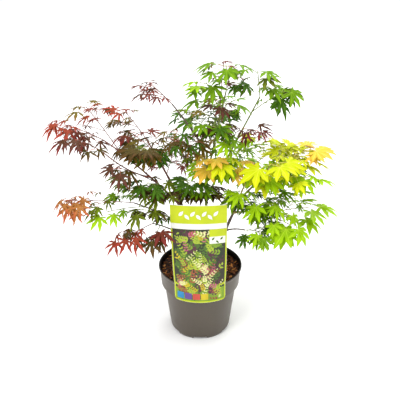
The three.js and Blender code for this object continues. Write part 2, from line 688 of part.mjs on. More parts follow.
// The filling: a plug in the pot, its top uneven but level where the stems stand, slotted for the strap.
function mixSolid() {
  const draw = seeded(mixSeed);
  const clear = wall + 2 * gap;
  const base = floorHeight + floorThick + gap;
  const topRadius = collarFootRadius - clear;
  const rings = [
    [bodyRadius(base) - clear - chamfer, base],
    [bodyRadius(stepHeight) - clear - gap, stepHeight + wall],
    [topRadius, collarFootHeight + wall],
  ];
  const surface = (x, y) => {
    const level = stems.some((row) => Math.hypot(x - row.foot[0], y - row.foot[1]) < levelRound);
    return mixTop + (level ? 0 : draw(-mixDip, 0));
  };
  const points = [at3(0, 0, base)];
  const ring = (radius, height) => {
    for (let k = 0; k < mixSegments; k += 1) {
      const angle = 2 * Math.PI * k / mixSegments;
      const x = Math.cos(angle) * radius;
      const y = Math.sin(angle) * radius;
      points.push(at3(x, y, height ?? surface(x, y)));
    }
  };
  rings.forEach(([radius, height]) => ring(radius, height));
  for (let j = 0; j < mixRings; j += 1) ring(topRadius * (1 - j / mixRings));
  points.push(at3(0, 0, mixTop));
  const faces = [];
  const last = rings.length + mixRings - 1;
  const id = (j, k) => 1 + j * mixSegments + (k % mixSegments);
  for (let k = 0; k < mixSegments; k += 1) {
    faces.push([0, id(0, k + 1), id(0, k)]);
    for (let j = 0; j < last; j += 1) {
      faces.push([id(j, k), id(j, k + 1), id(j + 1, k + 1)]);
      faces.push([id(j, k), id(j + 1, k + 1), id(j + 1, k)]);
    }
    faces.push([id(last, k), id(last, k + 1), points.length - 1]);
  }
  const slotFoot = at3(-strapHalf - gap, -rimRadius, strapFoot - gap);
  const slotTop = at3(strapHalf + gap, strapInner + gap, potHeight);
  return toSolid(points, faces).subtract(boxSolid(slotFoot, slotTop));
}

stems.forEach(growStem);
boughs.forEach(growBough);
const grown = masses.map(startMass);
grown.forEach(branchMass);
grown.forEach(leafMass);

const plant = new THREE.Group();
plant.name = 'potted_japanese_maple';
plant.add(toMesh('pot', potSolid(), '#6b645c', 0.55));
plant.add(toMesh('growing_mix', mixSolid(), '#3a281a', 0.95));
plant.add(toMesh('label', labelSolid(), '#a9b83a', 0.45));
limbs.forEach((limb) => {
  const solid = limbSolid(limb.line, limb.radii, limbSides, Boolean(limb.foot));
  plant.add(toMesh(limb.name, solid, woodTints[limb.wood], 0.8));
});
grown.forEach((mass) => {
  plant.add(toMesh(mass.name, massSolid(mass), tints[mass.tints[0]], 0.6));
});

export default plant;
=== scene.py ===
# Potted Japanese maple: a red, a green and a yellow side on three stems in one nursery pot.
# Dictionaries hold millimetres and degrees, meshes hold metres. The label side faces -Y.
import json
from math import atan2, ceil, cos, exp, pi, radians, sin, sqrt

import bmesh
import bpy
import numpy as np
from mathutils import Matrix, Vector, noise

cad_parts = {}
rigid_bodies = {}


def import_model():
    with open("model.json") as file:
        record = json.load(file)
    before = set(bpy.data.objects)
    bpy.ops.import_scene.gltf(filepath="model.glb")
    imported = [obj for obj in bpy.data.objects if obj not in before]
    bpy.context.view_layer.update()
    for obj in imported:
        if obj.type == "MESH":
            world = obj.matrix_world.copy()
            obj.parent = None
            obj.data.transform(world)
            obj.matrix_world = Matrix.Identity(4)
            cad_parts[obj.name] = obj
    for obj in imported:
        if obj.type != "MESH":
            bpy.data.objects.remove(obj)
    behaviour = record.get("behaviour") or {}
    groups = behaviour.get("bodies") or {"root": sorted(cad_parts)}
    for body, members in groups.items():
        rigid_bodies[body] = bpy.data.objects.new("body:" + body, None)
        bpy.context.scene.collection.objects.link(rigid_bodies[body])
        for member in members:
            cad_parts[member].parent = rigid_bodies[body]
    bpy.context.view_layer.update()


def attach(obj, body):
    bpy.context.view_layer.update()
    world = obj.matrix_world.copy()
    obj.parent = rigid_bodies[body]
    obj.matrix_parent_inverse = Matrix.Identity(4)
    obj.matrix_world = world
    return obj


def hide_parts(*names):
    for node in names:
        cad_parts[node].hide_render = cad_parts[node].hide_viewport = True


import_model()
scene = bpy.context.scene
mm = 0.001
up = Vector((0, 0, 1))


# Node and mesh helpers
def put(tree, kind, values=None, **settings):
    made = tree.nodes.new(kind)
    for key, value in settings.items():
        setattr(made, key, value)
    for key, value in (values or {}).items():
        socket = made.inputs[key]
        if isinstance(value, bpy.types.NodeSocket):
            tree.links.new(value, socket)
        else:
            socket.default_value = value
    return made


def output(tree, kind, values=None, **settings):
    return put(tree, kind, values, **settings).outputs[0]


def maths(tree, operation, a, b=0.0):
    return output(tree, "ShaderNodeMath", {0: a, 1: b}, operation=operation)


def times(tree, a, b):
    return maths(tree, "MULTIPLY", a, b)


def blend(tree, factor, a, b):
    return put(tree, "ShaderNodeMix", {0: factor, 6: a, 7: b}, data_type="RGBA").outputs[2]


def ease(tree, factor, low, high):
    values = {"Value": factor, "From Min": low, "From Max": high}
    return output(tree, "ShaderNodeMapRange", values, interpolation_type="SMOOTHSTEP")


def grains(tree, place, scale, detail, stretch=(1, 1, 1)):
    moved = output(tree, "ShaderNodeMapping", {"Vector": place, "Scale": stretch})
    return output(tree, "ShaderNodeTexNoise", {"Vector": moved, "Scale": scale, "Detail": detail})


# Noise of one scale and detail, made a soft mask between two levels
def patches(tree, place, scale, detail, low, high, stretch=(1, 1, 1)):
    return ease(tree, grains(tree, place, scale, detail, stretch), low, high)


def onObject(tree):
    return put(tree, "ShaderNodeTexCoord").outputs["Object"]


# A shader group: colours and values go in, a colour, a height and a roughness come out
def newGroup(name, colours, values=()):
    tree = bpy.data.node_groups.new(name, "ShaderNodeTree")
    for way, kind, labels in (("INPUT", "Color", colours), ("INPUT", "Float", values),
                              ("OUTPUT", "Color", ["Color"]), ("OUTPUT", "Float", ["Height", "Roughness"])):
        for label in labels:
            tree.interface.new_socket(label, in_out=way, socket_type="NodeSocket" + kind)
    return tree, put(tree, "NodeGroupInput").outputs


# Colour codes as the linear values that sockets take
def paints(codes):
    made = []
    for code in codes.split():
        levels = [int(code[i:i + 2], 16) / 255 for i in (0, 2, 4)]
        made.append((*(v / 12.92 if v < 0.04045 else ((v + 0.055) / 1.055) ** 2.4 for v in levels), 1.0))
    return made


def newFinish(name, specular, roughness=0.5):
    finish = bpy.data.materials.new(name)
    finish.use_nodes = True
    surface = finish.node_tree.nodes["Principled BSDF"].inputs
    surface["Roughness"].default_value = roughness
    surface["Specular IOR Level"].default_value = specular
    return finish, finish.node_tree, surface


def dress(tree, surface, colour, height, strength, depth):
    tree.links.new(colour, surface["Base Color"])
    values = {"Strength": strength, "Distance": depth, "Height": height}
    tree.links.new(output(tree, "ShaderNodeBump", values), surface["Normal"])


# A material round a shader group, with its colours and values in the order of the group's inputs
def groupFinish(name, group, codes, values, specular, strength, depth):
    finish, tree, surface = newFinish(name, specular)
    inputs = dict(enumerate(paints(codes) + values))
    skin = put(tree, "ShaderNodeGroup", inputs, node_tree=group).outputs
    tree.links.new(skin["Roughness"], surface["Roughness"])
    dress(tree, surface, skin["Color"], skin["Height"], strength, depth)
    return finish


def show(name, data, home=None):
    made = bpy.data.objects.new(name, data)
    (home or scene.collection).objects.link(made)
    return made


def newObject(name, points, faces, edges=(), home=None):
    mesh = bpy.data.meshes.new(name)
    mesh.from_pydata([tuple(point) for point in points], list(edges), faces)
    mesh.polygons.foreach_set("use_smooth", [True] * len(mesh.polygons))
    mesh.update()
    return show(name, mesh, home)


def addAttribute(made, name, kind, values):
    layer = made.data.attributes.new(name, kind, "POINT")
    layer.data.foreach_set("vector" if kind == "FLOAT_VECTOR" else "value", np.ravel(values))


# A modifier's result as a plain mesh in its own object; the object it grew on goes
def realised(name, base, tree, inputs):
    shaper = base.modifiers.new("shape", "NODES")
    shaper.node_group = tree
    for item in tree.interface.items_tree:
        if item.item_type == "SOCKET" and item.in_out == "INPUT" and item.name in inputs:
            shaper[item.identifier] = inputs[item.name]
    graph = bpy.context.evaluated_depsgraph_get()
    mesh = bpy.data.meshes.new_from_object(base.evaluated_get(graph), depsgraph=graph)
    base.modifiers.remove(shaper)
    bpy.data.objects.remove(base)
    return show(name, mesh)


def keep(piece, slot, *nodes):
    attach(piece, "root")
    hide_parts(*nodes)


# The rule that grows the plant
rule = {
    "gap": 0.3, "endGap": 0.39, "leastLift": 0.04, "mixTop": 148,
    "limbSteps": 6, "flare": 2.6, "flareHeight": 9, "flareRing": 0.35,
    "twigSteps": 4, "sideSteps": 2, "twigRoot": 1.2, "twigEnd": 0.85, "stalk": 0.45, "twigArch": 5,
    "sideArch": 0.08, "firstSide": 0.4, "sideSpacing": 0.22, "sideTurn": (40, 62), "sidePitch": (0, 26),
    "sideShare": (0.42, 0.62), "shortestSide": 24,
    "stalkShare": (0.5, 0.8), "sizeSpread": (0.88, 1.14), "seatSpread": 14, "pitchSpread": 12,
    "turnSpread": 22, "droopSpread": 16, "rollSpread": 20, "endSeat": 0.97, "endPitch": 4,
    "pairSeat": 0.94, "pairSpacing": 0.3, "widePair": (64, 6, 6), "closePair": (40, 32, -18),
    "tries": 7, "shrink": 0.91, "ballSpacing": 4, "tipBalls": 5, "midBall": 0.13, "tipBall": 0.05,
    "clearOfWood": 0.6, "clearOfPot": 2, "clearBehindLabel": 14, "shares": (0.8, 0.5, 1.0), "reach": 1.0,
    "solidLobes": 3, "sprayEnds": (0.8, 0.5), "mostBalls": 120000,
    "seed": 4177, "seedStep": 613, "seedFactor": 16807, "seedSpan": 2147483647,
}
pot = {
    "height": 164.3, "rim": 95, "lip": 4.5, "collarTop": 92.5, "collarFoot": 89.5, "collarFootHeight": 120,
    "step": 82.4, "stepHeight": 113, "bodyFoot": 69.5, "bodyFootHeight": 7, "foot": 67, "wall": 1.7,
    "footRing": 7, "floorHeight": 6, "floorThick": 2.2, "boss": 16, "slant": 1, "underLip": 3,
    "lipCurve": ((-0.6, -0.4), (0, 0.8)), "rimCurve": ((0, -0.9), (-1, 0), (-2.4, 0)), "innerRise": 0.6,
    "rounding": 0.9, "mostRounding": 0.45, "roundingSteps": 3, "segments": 180,
    "notches": 6, "notchWidth": 30, "notchHeight": 6.4,
}
card = {
    "width": 119, "foot": 123, "top": 365, "thick": 1, "back": 95.9, "topCurve": 300, "lean": 0.016,
    "corner": 9, "columns": 40, "rows": 66, "bandSteps": (40, 24), "strapWidth": 22, "strapTop": 170,
    "strapReach": 13, "strapFoot": 128, "strapGap": 0.1, "strapEdge": 0.3,
}
# kind of leaf: its middle lobe and one side's as (degrees, length), and as shares where its bays end,
# how far it cups, its lobes' half width and how far their teeth stand out
leafKinds = {
    "red": {"lobes": ((0, 1), (41, 0.9), (87, 0.64), (128, 0.32)),
            "bay": 0.27, "cup": (0.2, 0.42), "width": 0.1, "tooth": 0.14},
    "green": {"lobes": ((0, 1), (38, 0.93), (78, 0.72), (124, 0.4)),
              "bay": 0.31, "cup": (0.14, 0.32), "width": 0.135, "tooth": 0.13},
    "yellow": {"lobes": ((0, 1), (37, 0.92), (75, 0.76), (118, 0.46)),
               "bay": 0.38, "cup": (0.1, 0.26), "width": 0.165, "tooth": 0.12},
}
# stem: foot, tip, radius at foot and tip, sideways bow, bark
stems = {
    "stem_red": ((-20, 2), (-44, 0, 330), (4.4, 3), (9, 0), "dark"),
    "stem_green": ((4, 20), (14, 10, 435), (4.6, 2.6), (7, 4), "green"),
    "stem_yellow": ((26, -4), (87, -5, 333), (4.2, 2.8), (-10, -2), "dark"),
}
# bough: parent, how far along it, tip, radius at root and tip, bow, bark
boughs = {
    "bough_left": ("stem_red", 0.9, (-138, -32, 431), (2.5, 1.7), (0, 0, 6), "red"),
    "bough_left_high": ("bough_left", 1, (-202, -12, 475), (1.7, 1.3), (0, 0, 4), "red"),
    "bough_left_low": ("bough_left", 0.66, (-196, -60, 468), (1.5, 1.2), (0, -16, -10), "red"),
    "bough_bronze": ("stem_red", 1, (-112, 6, 467), (2.6, 1.6), (0, 0, 4), "red"),
    "bough_top_left": ("stem_green", 1, (-59, 28, 539), (2.4, 1.4), (0, 0, 8), "dark"),
    "bough_top": ("stem_green", 0.82, (52, -6, 578), (2.3, 1.4), (0, 0, 0), "green"),
    "bough_top_right": ("stem_green", 0.66, (122, 14, 558), (2.3, 1.4), (0, 0, 2), "green"),
    "bough_yellow": ("stem_yellow", 1, (152, -12, 406), (2.5, 1.5), (0, 0, 5), "yellow"),
    "bough_right": ("stem_yellow", 0.84, (149, -40, 317), (2.1, 1.4), (0, 0, 5), "yellow"),
    "bough_low_right": ("stem_yellow", 0.62, (95, -62, 288), (1.8, 1.3), (0, 0, 6), "dark"),
    "bough_low_left": ("stem_red", 0.66, (-140, -46, 345), (2, 1.4), (0, 0, 8), "dark"),
    "bough_drop": ("stem_red", 0.5, (-100, -62, 304), (1.8, 1.3), (0, 0, 10), "dark"),
    "bough_back_left": ("stem_red", 0.78, (-96, 104, 386), (2.1, 1.4), (0, 0, 8), "red"),
    "bough_back": ("stem_green", 0.74, (4, 112, 452), (2.2, 1.4), (0, 0, 6), "green"),
    "bough_back_right": ("stem_yellow", 0.72, (122, 96, 366), (2.1, 1.4), (0, 0, 8), "yellow"),
}
# mass: kind of leaf, parent, how far along it, end of its main twig, pairs, side twigs, leaf length,
# droop, reach, tints of its sprays from tip to root
masses = {
    "red_tip": ("red", "bough_left_high", 1, (-268, -24, 510), 2, 1, 40, 18, 88, "red crimson purple"),
    "red_low": ("red", "bough_left_low", 1, (-242, -84, 506), 2, 0, 36, 12, 84, "purple crimson brown"),
    "red_top": ("red", "bough_left_high", 0.45, (-238, 26, 534), 2, 2, 36, 8, 86, "bronze red brown"),
    "red_hang": ("red", "bough_left", 0.52, (-164, -74, 440), 2, 0, 38, 14, 80, "purple brown"),
    "bronze": ("red", "bough_bronze", 1, (-158, 28, 522), 2, 1, 34, 4, 86, "red bronze brown"),
    "olive": ("green", "bough_bronze", 0.7, (-120, -40, 470), 2, 1, 38, 14, 84, "brown bronze dark"),
    "dark_left": ("green", "bough_left", 0.28, (-104, -66, 402), 2, 1, 40, 18, 86, "dark olive brown"),
    "top_left": ("red", "bough_top_left", 1, (-102, 34, 578), 2, 1, 32, 2, 80, "crimson purple crimson"),
    "top_red": ("red", "bough_top", 0.6, (48, 50, 620), 2, 0, 32, 0, 84, "crimson purple bronze"),
    "mid_left": ("red", "bough_top_left", 0.3, (-50, -38, 482), 2, 1, 40, 16, 88, "brown dark bronze"),
    "green_top": ("green", "bough_top", 1, (50, -32, 640), 2, 0, 42, 16, 96, "green green dark"),
    "lime_top": ("green", "bough_top", 0.74, (12, -30, 604), 2, 0, 40, 14, 90, "lime green purple"),
    "right_top": ("green", "bough_top_right", 1, (114, -6, 620), 2, 0, 42, 6, 94, "green olive green"),
    "right_droop": ("green", "bough_top_right", 0.86, (172, 22, 568), 2, 0, 38, 40, 90, "green dark green"),
    "right_red": ("red", "bough_top_right", 0.6, (110, -36, 506), 2, 0, 34, 2, 86, "crimson purple brown"),
    "mid_top": ("green", "bough_top", 0.4, (12, -50, 524), 2, 1, 38, 14, 88, "green dark purple"),
    "mid_high": ("green", "bough_top_right", 0.3, (72, -48, 506), 2, 0, 38, 14, 88, "green lime green"),
    "yellow_tip": ("yellow", "bough_yellow", 1, (224, 4, 444), 2, 1, 42, 6, 94, "peach yellow yellow"),
    "yellow_out": ("yellow", "bough_yellow", 0.84, (220, -46, 404), 2, 1, 44, 14, 94, "lime yellow lime"),
    "yellow_mid": ("yellow", "bough_yellow", 0.5, (146, -60, 442), 3, 1, 48, 12, 94, "yellow yellow lime"),
    "peach": ("yellow", "stem_green", 0.86, (38, -54, 452), 2, 1, 42, 10, 90, "yellow peach lime"),
    "right_low": ("yellow", "bough_right", 1, (232, -38, 330), 2, 1, 44, 24, 94, "lime lime green"),
    "right_down": ("yellow", "bough_right", 0.78, (184, -98, 322), 2, 1, 44, 40, 92, "lime lime lime"),
    "right_mid": ("green", "bough_right", 0.46, (136, -76, 360), 2, 1, 42, 20, 92, "lime green green"),
    "low_right": ("green", "bough_low_right", 1, (132, -106, 306), 2, 1, 36, 24, 88, "lime green dark"),
    "low_tip": ("red", "bough_low_left", 1, (-268, -62, 358), 2, 1, 40, 34, 88, "orange orange olive"),
    "low_mid": ("green", "bough_low_left", 0.8, (-190, -98, 352), 1, 0, 38, 26, 88, "lime green olive"),
    "low_green": ("green", "bough_low_left", 0.6, (-164, 6, 374), 2, 1, 36, 12, 88, "olive green brown"),
    "low_in": ("green", "bough_low_left", 0.34, (-112, -90, 352), 2, 0, 38, 18, 88, "olive brown dark"),
    "drop_left": ("red", "bough_drop", 1, (-154, -102, 290), 2, 1, 38, 36, 90, "red red brown"),
    "drop_mid": ("green", "bough_drop", 0.8, (-96, -112, 294), 2, 0, 36, 30, 88, "brown crimson olive"),
    "mid_dark": ("green", "stem_green", 0.66, (-16, -46, 398), 2, 1, 38, 6, 90, "dark green brown"),
    "mid_right": ("green", "stem_yellow", 0.9, (82, -60, 382), 2, 1, 38, 18, 88, "lime green dark"),
    "back_red": ("red", "bough_back_left", 1, (-150, 150, 418), 2, 1, 42, 14, 106, "crimson brown bronze"),
    "back_dark": ("red", "bough_back_left", 0.66, (-66, 150, 364), 2, 2, 42, 16, 102, "brown olive crimson"),
    "back_green": ("green", "bough_back", 1, (4, 172, 452), 2, 1, 42, 14, 106, "green olive dark"),
    "back_high": ("green", "bough_back", 0.7, (62, 128, 506), 2, 1, 42, 10, 102, "green dark bronze"),
    "back_yellow": (
        "yellow", "bough_back_right", 1, (178, 138, 392), 2, 1, 46, 14, 104, "yellow yellow lime"),
    "back_low": ("green", "bough_back_right", 0.66, (84, 156, 346), 2, 1, 44, 20, 102, "lime green dark"),
}


def mixed(a, b, t):
    return a + (b - a) * t


def seeded(seed):
    state = seed

    def draw(low, high):
        nonlocal state
        state = state * rule["seedFactor"] % rule["seedSpan"]
        return mixed(low, high, state / rule["seedSpan"])
    return draw


def aim(bearing, pitch):
    level = cos(pitch)
    return Vector((cos(bearing) * level, sin(bearing) * level, sin(pitch)))


def shares(count):
    return [i / count for i in range(count + 1)]


def bend(start, middle, end, count):
    return [start * (1 - t) ** 2 + middle * (2 * t * (1 - t)) + end * t ** 2 for t in shares(count)]


def taper(start, end, count):
    return [mixed(start, end, t) for t in shares(count)]


def walkedOn(line):
    return np.cumsum([0] + [(b - a).length for a, b in zip(line, line[1:])])


def spot(line, at):
    place = at * (len(line) - 1)
    i = min(int(place), len(line) - 2)
    return i, place - i


def pointOn(line, at):
    i, part = spot(line, at)
    return line[i].lerp(line[i + 1], part)


def headingOn(line, at):
    i = spot(line, at)[0]
    return (line[i + 1] - line[i]).normalized()


def bearingOn(line, at, turn):
    heading = headingOn(line, at)
    return atan2(heading.y, heading.x) + radians(turn)


# An arched twig off a line, turned to its side and raised
def sideTwig(line, at, turn, pitch, length, arch):
    root = pointOn(line, at)
    end = root + aim(bearingOn(line, at, turn), radians(pitch)) * length
    return bend(root, root.lerp(end, 0.5) + up * arch, end, rule["sideSteps"])


# Where a child begins: just past its parent's end, or just off its side
def beginOn(parent, at, toward, radius):
    root = pointOn(parent["line"], at)
    heading = headingOn(parent["line"], at)
    out = (toward - root).normalized()
    slope = abs(out.dot(heading))
    lift = sqrt(max(1 - slope * slope, rule["leastLift"]))
    if at == 1:
        return root + heading * (rule["endGap"] + radius * lift)
    i, part = spot(parent["line"], at)
    girth = mixed(parent["radii"][i], parent["radii"][i + 1], part)
    return root + out * ((girth + rule["gap"] + radius * slope) / lift)


limbs = {}
for name, (foot, tip, radii, bow, bark) in stems.items():
    foot, tip = Vector((*foot, rule["mixTop"] + rule["gap"])), Vector(tip)
    middle = foot.lerp(tip, 0.5) + Vector((*bow, 0))
    line = bend(foot, middle, tip, rule["limbSteps"] + 2)
    line.insert(1, foot.lerp(line[1], rule["flareRing"]))
    flares = [rule["flare"] * exp(-(point.z - foot.z) / rule["flareHeight"]) for point in line]
    girths = [girth + flare for girth, flare in zip(taper(*radii, len(line) - 1), flares)]
    limbs[name] = {"line": line, "radii": girths, "bark": bark, "bow": (foot, middle, tip), "from": None}
for name, (parent, at, tip, radii, bow, bark) in boughs.items():
    carrier, tip = limbs[parent], Vector(tip)
    middle = pointOn(carrier["line"], at).lerp(tip, 0.5) + Vector(bow)
    start = beginOn(carrier, at, middle, radii[0])
    limbs[name] = {"line": bend(start, middle, tip, rule["limbSteps"]), "bark": bark, "from": carrier,
                   "radii": taper(*radii, rule["limbSteps"]), "bow": (start, middle, tip), "at": at}

limbStarts = np.array([point for limb in limbs.values() for point in limb["line"][:-1]])
limbRuns = np.array([b - a for limb in limbs.values() for a, b in zip(limb["line"], limb["line"][1:])])
limbGirths = np.array([girth for limb in limbs.values() for girth in limb["radii"][:-1]])


def distances(points, starts, runs):
    offset = points[:, None] - starts[None]
    along = (offset * runs).sum(-1) / (runs * runs).sum(-1)
    near = offset - np.clip(along, 0, 1)[..., None] * runs
    return np.sqrt((near * near).sum(-1))


# Room is kept as balls: rows of x, y, z, radius, owner, is it a blade
room = np.zeros((rule["mostBalls"], 6))
used = 0


def take(balls, owner, blade):
    global used
    room[used:used + len(balls), :4] = balls
    room[used:used + len(balls), 4:] = owner, blade
    used += len(balls)


def ballsAlong(line, radius):
    gap = rule["ballSpacing"]
    balls = []
    for a, b in zip(line, line[1:]):
        count = max(1, ceil((b - a).length / gap))
        balls += [(*a.lerp(b, k / count), radius + gap / 2) for k in range(count)]
    return np.array(balls + [(*line[-1], radius + gap / 4)])


# Balls off the limbs, and off the pot and the label
def clearOfParts(balls):
    near = distances(balls[:, :3], limbStarts, limbRuns)
    if not (near > balls[:, 3:4] + limbGirths + rule["clearOfWood"]).all():
        return False
    x, y, z, r = balls.T
    clear = rule["clearOfPot"]
    offPot = (z - r > pot["height"] + clear) | (np.hypot(x, y) - r > pot["rim"] + clear)
    beside = (abs(x) - r > card["width"] / 2 + clear) | (z - r > card["top"] + clear)
    behind = y - r > -card["back"] + rule["clearBehindLabel"]
    before = y + r < -card["back"] - card["thick"] - clear
    return (offPot & (beside | behind | before)).all()


# Three shares say how near balls may come: a blade's to blades of its own mass, others to that
# mass, and any to other masses. A stalk may cross the wood of its own mass
def clearOfMasses(balls, owner, blade, nearest):
    centre = balls[:, :3].mean(0)
    span = np.linalg.norm(balls[:, :3] - centre, axis=1).max() + balls[:, 3].max()
    others = room[:used]
    near = others[np.linalg.norm(others[:, :3] - centre, axis=1) < span + others[:, 3]]
    own, blades = near[:, 4] == owner, near[:, 5] > 0
    share = np.where(own, np.where(blades & blade, nearest[0], nearest[1]), nearest[2])
    tested = ~own | blades | blade
    near, share = near[tested], share[tested]
    apart = np.linalg.norm(balls[:, None, :3] - near[None, :, :3], axis=2)
    return (apart > share * (balls[:, 3:4] + near[:, 3])).all()


# Balls near the mass's main twig
def withinReach(balls, mass, share):
    near = distances(balls[:, :3], mass["starts"], mass["runs"])
    return (near.min(1) < mass["reach"] * share).all()


def allLobes(half):
    return [(-degrees, length) for degrees, length in half[:0:-1]] + list(half)


def leafBalls(leaf, lobes):
    size, wide, fine = leaf["size"], rule["midBall"], rule["tipBall"]
    balls = [(*leaf["centre"], wide * size)]
    for degrees, length in allLobes(lobes):
        turn, reach = radians(degrees), length * size
        flat = leaf["ahead"] * (cos(turn) * reach) + leaf["across"] * (sin(turn) * reach)
        tip = leaf["centre"] + flat - leaf["over"] * (leaf["cup"] * reach)
        for along in shares(rule["tipBalls"])[1:]:
            balls.append((*leaf["centre"].lerp(tip, along), mixed(wide, fine, along) * size))
    return np.array(balls)


# One try at a leaf on its seat: the stalk first, then the blade, hanging by the mass's droop
def poseLeaf(seat, mass, scale, draw):
    def spread(key):
        return radians(draw(-rule[key], rule[key]))
    size = mass["leaf"] * scale * draw(*rule["sizeSpread"])
    bearing = seat["bearing"] + spread("seatSpread")
    way = aim(bearing, radians(seat["pitch"]) + spread("pitchSpread"))
    centre = seat["root"] + way * (size * draw(*rule["stalkShare"]))
    turn = bearing + spread("turnSpread")
    ahead = aim(turn, -radians(mass["droop"]) - spread("droopSpread"))
    level = Vector((-sin(turn), cos(turn), 0))
    roll = spread("rollSpread")
    across = level * cos(roll) + ahead.cross(level) * sin(roll)
    return {"root": seat["root"], "centre": centre, "ahead": ahead, "across": across,
            "over": ahead.cross(across), "size": size, "cup": draw(*leafKinds[mass["kind"]]["cup"])}


# Seats for one leaf at a twig's end and opposite pairs below it, spread wide and close by turns
def seatsOn(line, pairs, firstTurn):
    rows = [(rule["endSeat"], 0, rule["endPitch"])]
    for k in range(pairs):
        turn, high, low = rule["widePair" if (k + firstTurn) % 2 == 0 else "closePair"]
        at = rule["pairSeat"] - rule["pairSpacing"] * k
        rows += [(at, turn, high), (at, -turn, low)]
    return [{"root": pointOn(line, at), "bearing": bearingOn(line, at, turn), "pitch": pitch, "at": at}
            for at, turn, pitch in rows]


# A leaf for a seat: smaller at each try, till one has room
def growLeaf(mass, seat, draw, spray, look, scale=1.0):
    lobes = leafKinds[mass["kind"]]["lobes"][:rule["solidLobes"]]
    for attempt in range(look["tries"]):
        leaf = poseLeaf(seat, mass, scale * rule["shrink"] ** attempt, draw)
        stalk = ballsAlong([leaf["root"], leaf["centre"]], rule["stalk"])[1:-2]
        blade = leafBalls(leaf, lobes)
        both = np.vstack((stalk, blade))
        if not (withinReach(both, mass, look["reach"]) and clearOfParts(both)):
            continue
        if len(stalk) and not clearOfMasses(stalk, mass["order"], False, look["shares"]):
            continue
        if clearOfMasses(blade, mass["order"], True, look["shares"]):
            take(stalk, mass["order"], 0)
            take(blade, mass["order"], 1)
            mass["leaves"].append((leaf, spray))
            return


# Sprays are numbered from a mass's tip to its root, and each has its own tint
def sprayOf(twig, at):
    return min(2, (twig > 0) + sum(at < end for end in rule["sprayEnds"]))


grown = []
for order, (name, row) in enumerate(masses.items()):
    kind, parent, at, tip, pairs, side, leaf, droop, reach, tints = row
    tip = Vector(tip)
    middle = pointOn(limbs[parent]["line"], at).lerp(tip, 0.5) + up * rule["twigArch"]
    axis = bend(beginOn(limbs[parent], at, middle, rule["twigRoot"]), middle, tip, rule["twigSteps"])
    grown.append({
        "name": name, "node": f"leaves_{name}", "order": order, "kind": kind, "carrier": limbs[parent],
        "at": at, "pairs": pairs, "side": side, "leaf": leaf, "droop": droop, "reach": reach,
        "tints": tints.split(), "starts": np.array(axis[:-1]), "twigs": [axis], "leaves": [], "spurs": [],
        "runs": np.array([b - a for a, b in zip(axis, axis[1:])]),
        "draw": seeded(rule["seed"] + rule["seedStep"] * order),
    })
    take(ballsAlong(axis, rule["twigRoot"]), order, 0)

for mass in grown:
    axis, draw = mass["twigs"][0], mass["draw"]
    span = (axis[-1] - axis[0]).length
    for k in range(mass["side"]):
        turn = (-1) ** k * draw(*rule["sideTurn"])
        pitch = draw(*rule["sidePitch"])
        length = max(rule["shortestSide"], span * draw(*rule["sideShare"]))
        at = rule["firstSide"] + rule["sideSpacing"] * k
        line = sideTwig(axis, at, turn, pitch, length, length * rule["sideArch"])
        balls = ballsAlong(line, rule["twigEnd"])[2:]
        if clearOfParts(balls) and clearOfMasses(balls, mass["order"], False, rule["shares"]):
            take(balls, mass["order"], 0)
            mass["twigs"].append(line)
for mass in grown:
    for i, line in enumerate(mass["twigs"]):
        for seat in seatsOn(line, mass["pairs"] if i == 0 else 1, i):
            growLeaf(mass, seat, mass["draw"], sprayOf(i, seat["at"]), rule)
print("solid leaves", sum(len(mass["leaves"]) for mass in grown))

# Finer twigs between the leaf pairs, each with an end leaf and a pair, within the same reach.
# Sparse masses have few, one by one and by turns on either side; bare ones have one
finer = {
    "seed": 90173, "seedStep": 397, "turn": (34, 68), "pitch": (-14, 34), "length": (11, 27), "arch": 1.5,
    "one": (0.6,), "few": (0.3, 0.72), "many": (0.16, 0.42, 0.7, 0.9), "leafScale": (0.58, 0.88),
    "shares": (0.55, 0.4, 0.86), "reach": 0.88, "tries": 4, "radius": 0.5,
    "sparse": ("red_low red_top red_hang bronze top_left top_red green_top lime_top right_top right_droop "
               "right_red low_mid low_green low_in drop_left drop_mid right_low right_down").split(),
    "bare": "low_mid low_green drop_mid".split(),
}
for mass in grown:
    draw = seeded(finer["seed"] + finer["seedStep"] * mass["order"])
    sparse = mass["name"] in finer["sparse"]
    places = finer["one" if mass["name"] in finer["bare"] else "few" if sparse else "many"]
    for i, line in enumerate(mass["twigs"]):
        for k, at in enumerate(places):
            for hand in ((-1) ** (k + i),) if sparse else (1, -1):
                spur = sideTwig(line, at, hand * draw(*finer["turn"]), draw(*finer["pitch"]),
                                draw(*finer["length"]), finer["arch"])
                if not clearOfParts(ballsAlong(spur, finer["radius"])[1:]):
                    continue
                before = len(mass["leaves"])
                for seat in seatsOn(spur, 1, i):
                    growLeaf(mass, seat, draw, sprayOf(i, at), finer, draw(*finer["leafScale"]))
                if len(mass["leaves"]) > before:
                    mass["spurs"].append(spur)
print("all leaves", sum(len(mass["leaves"]) for mass in grown))


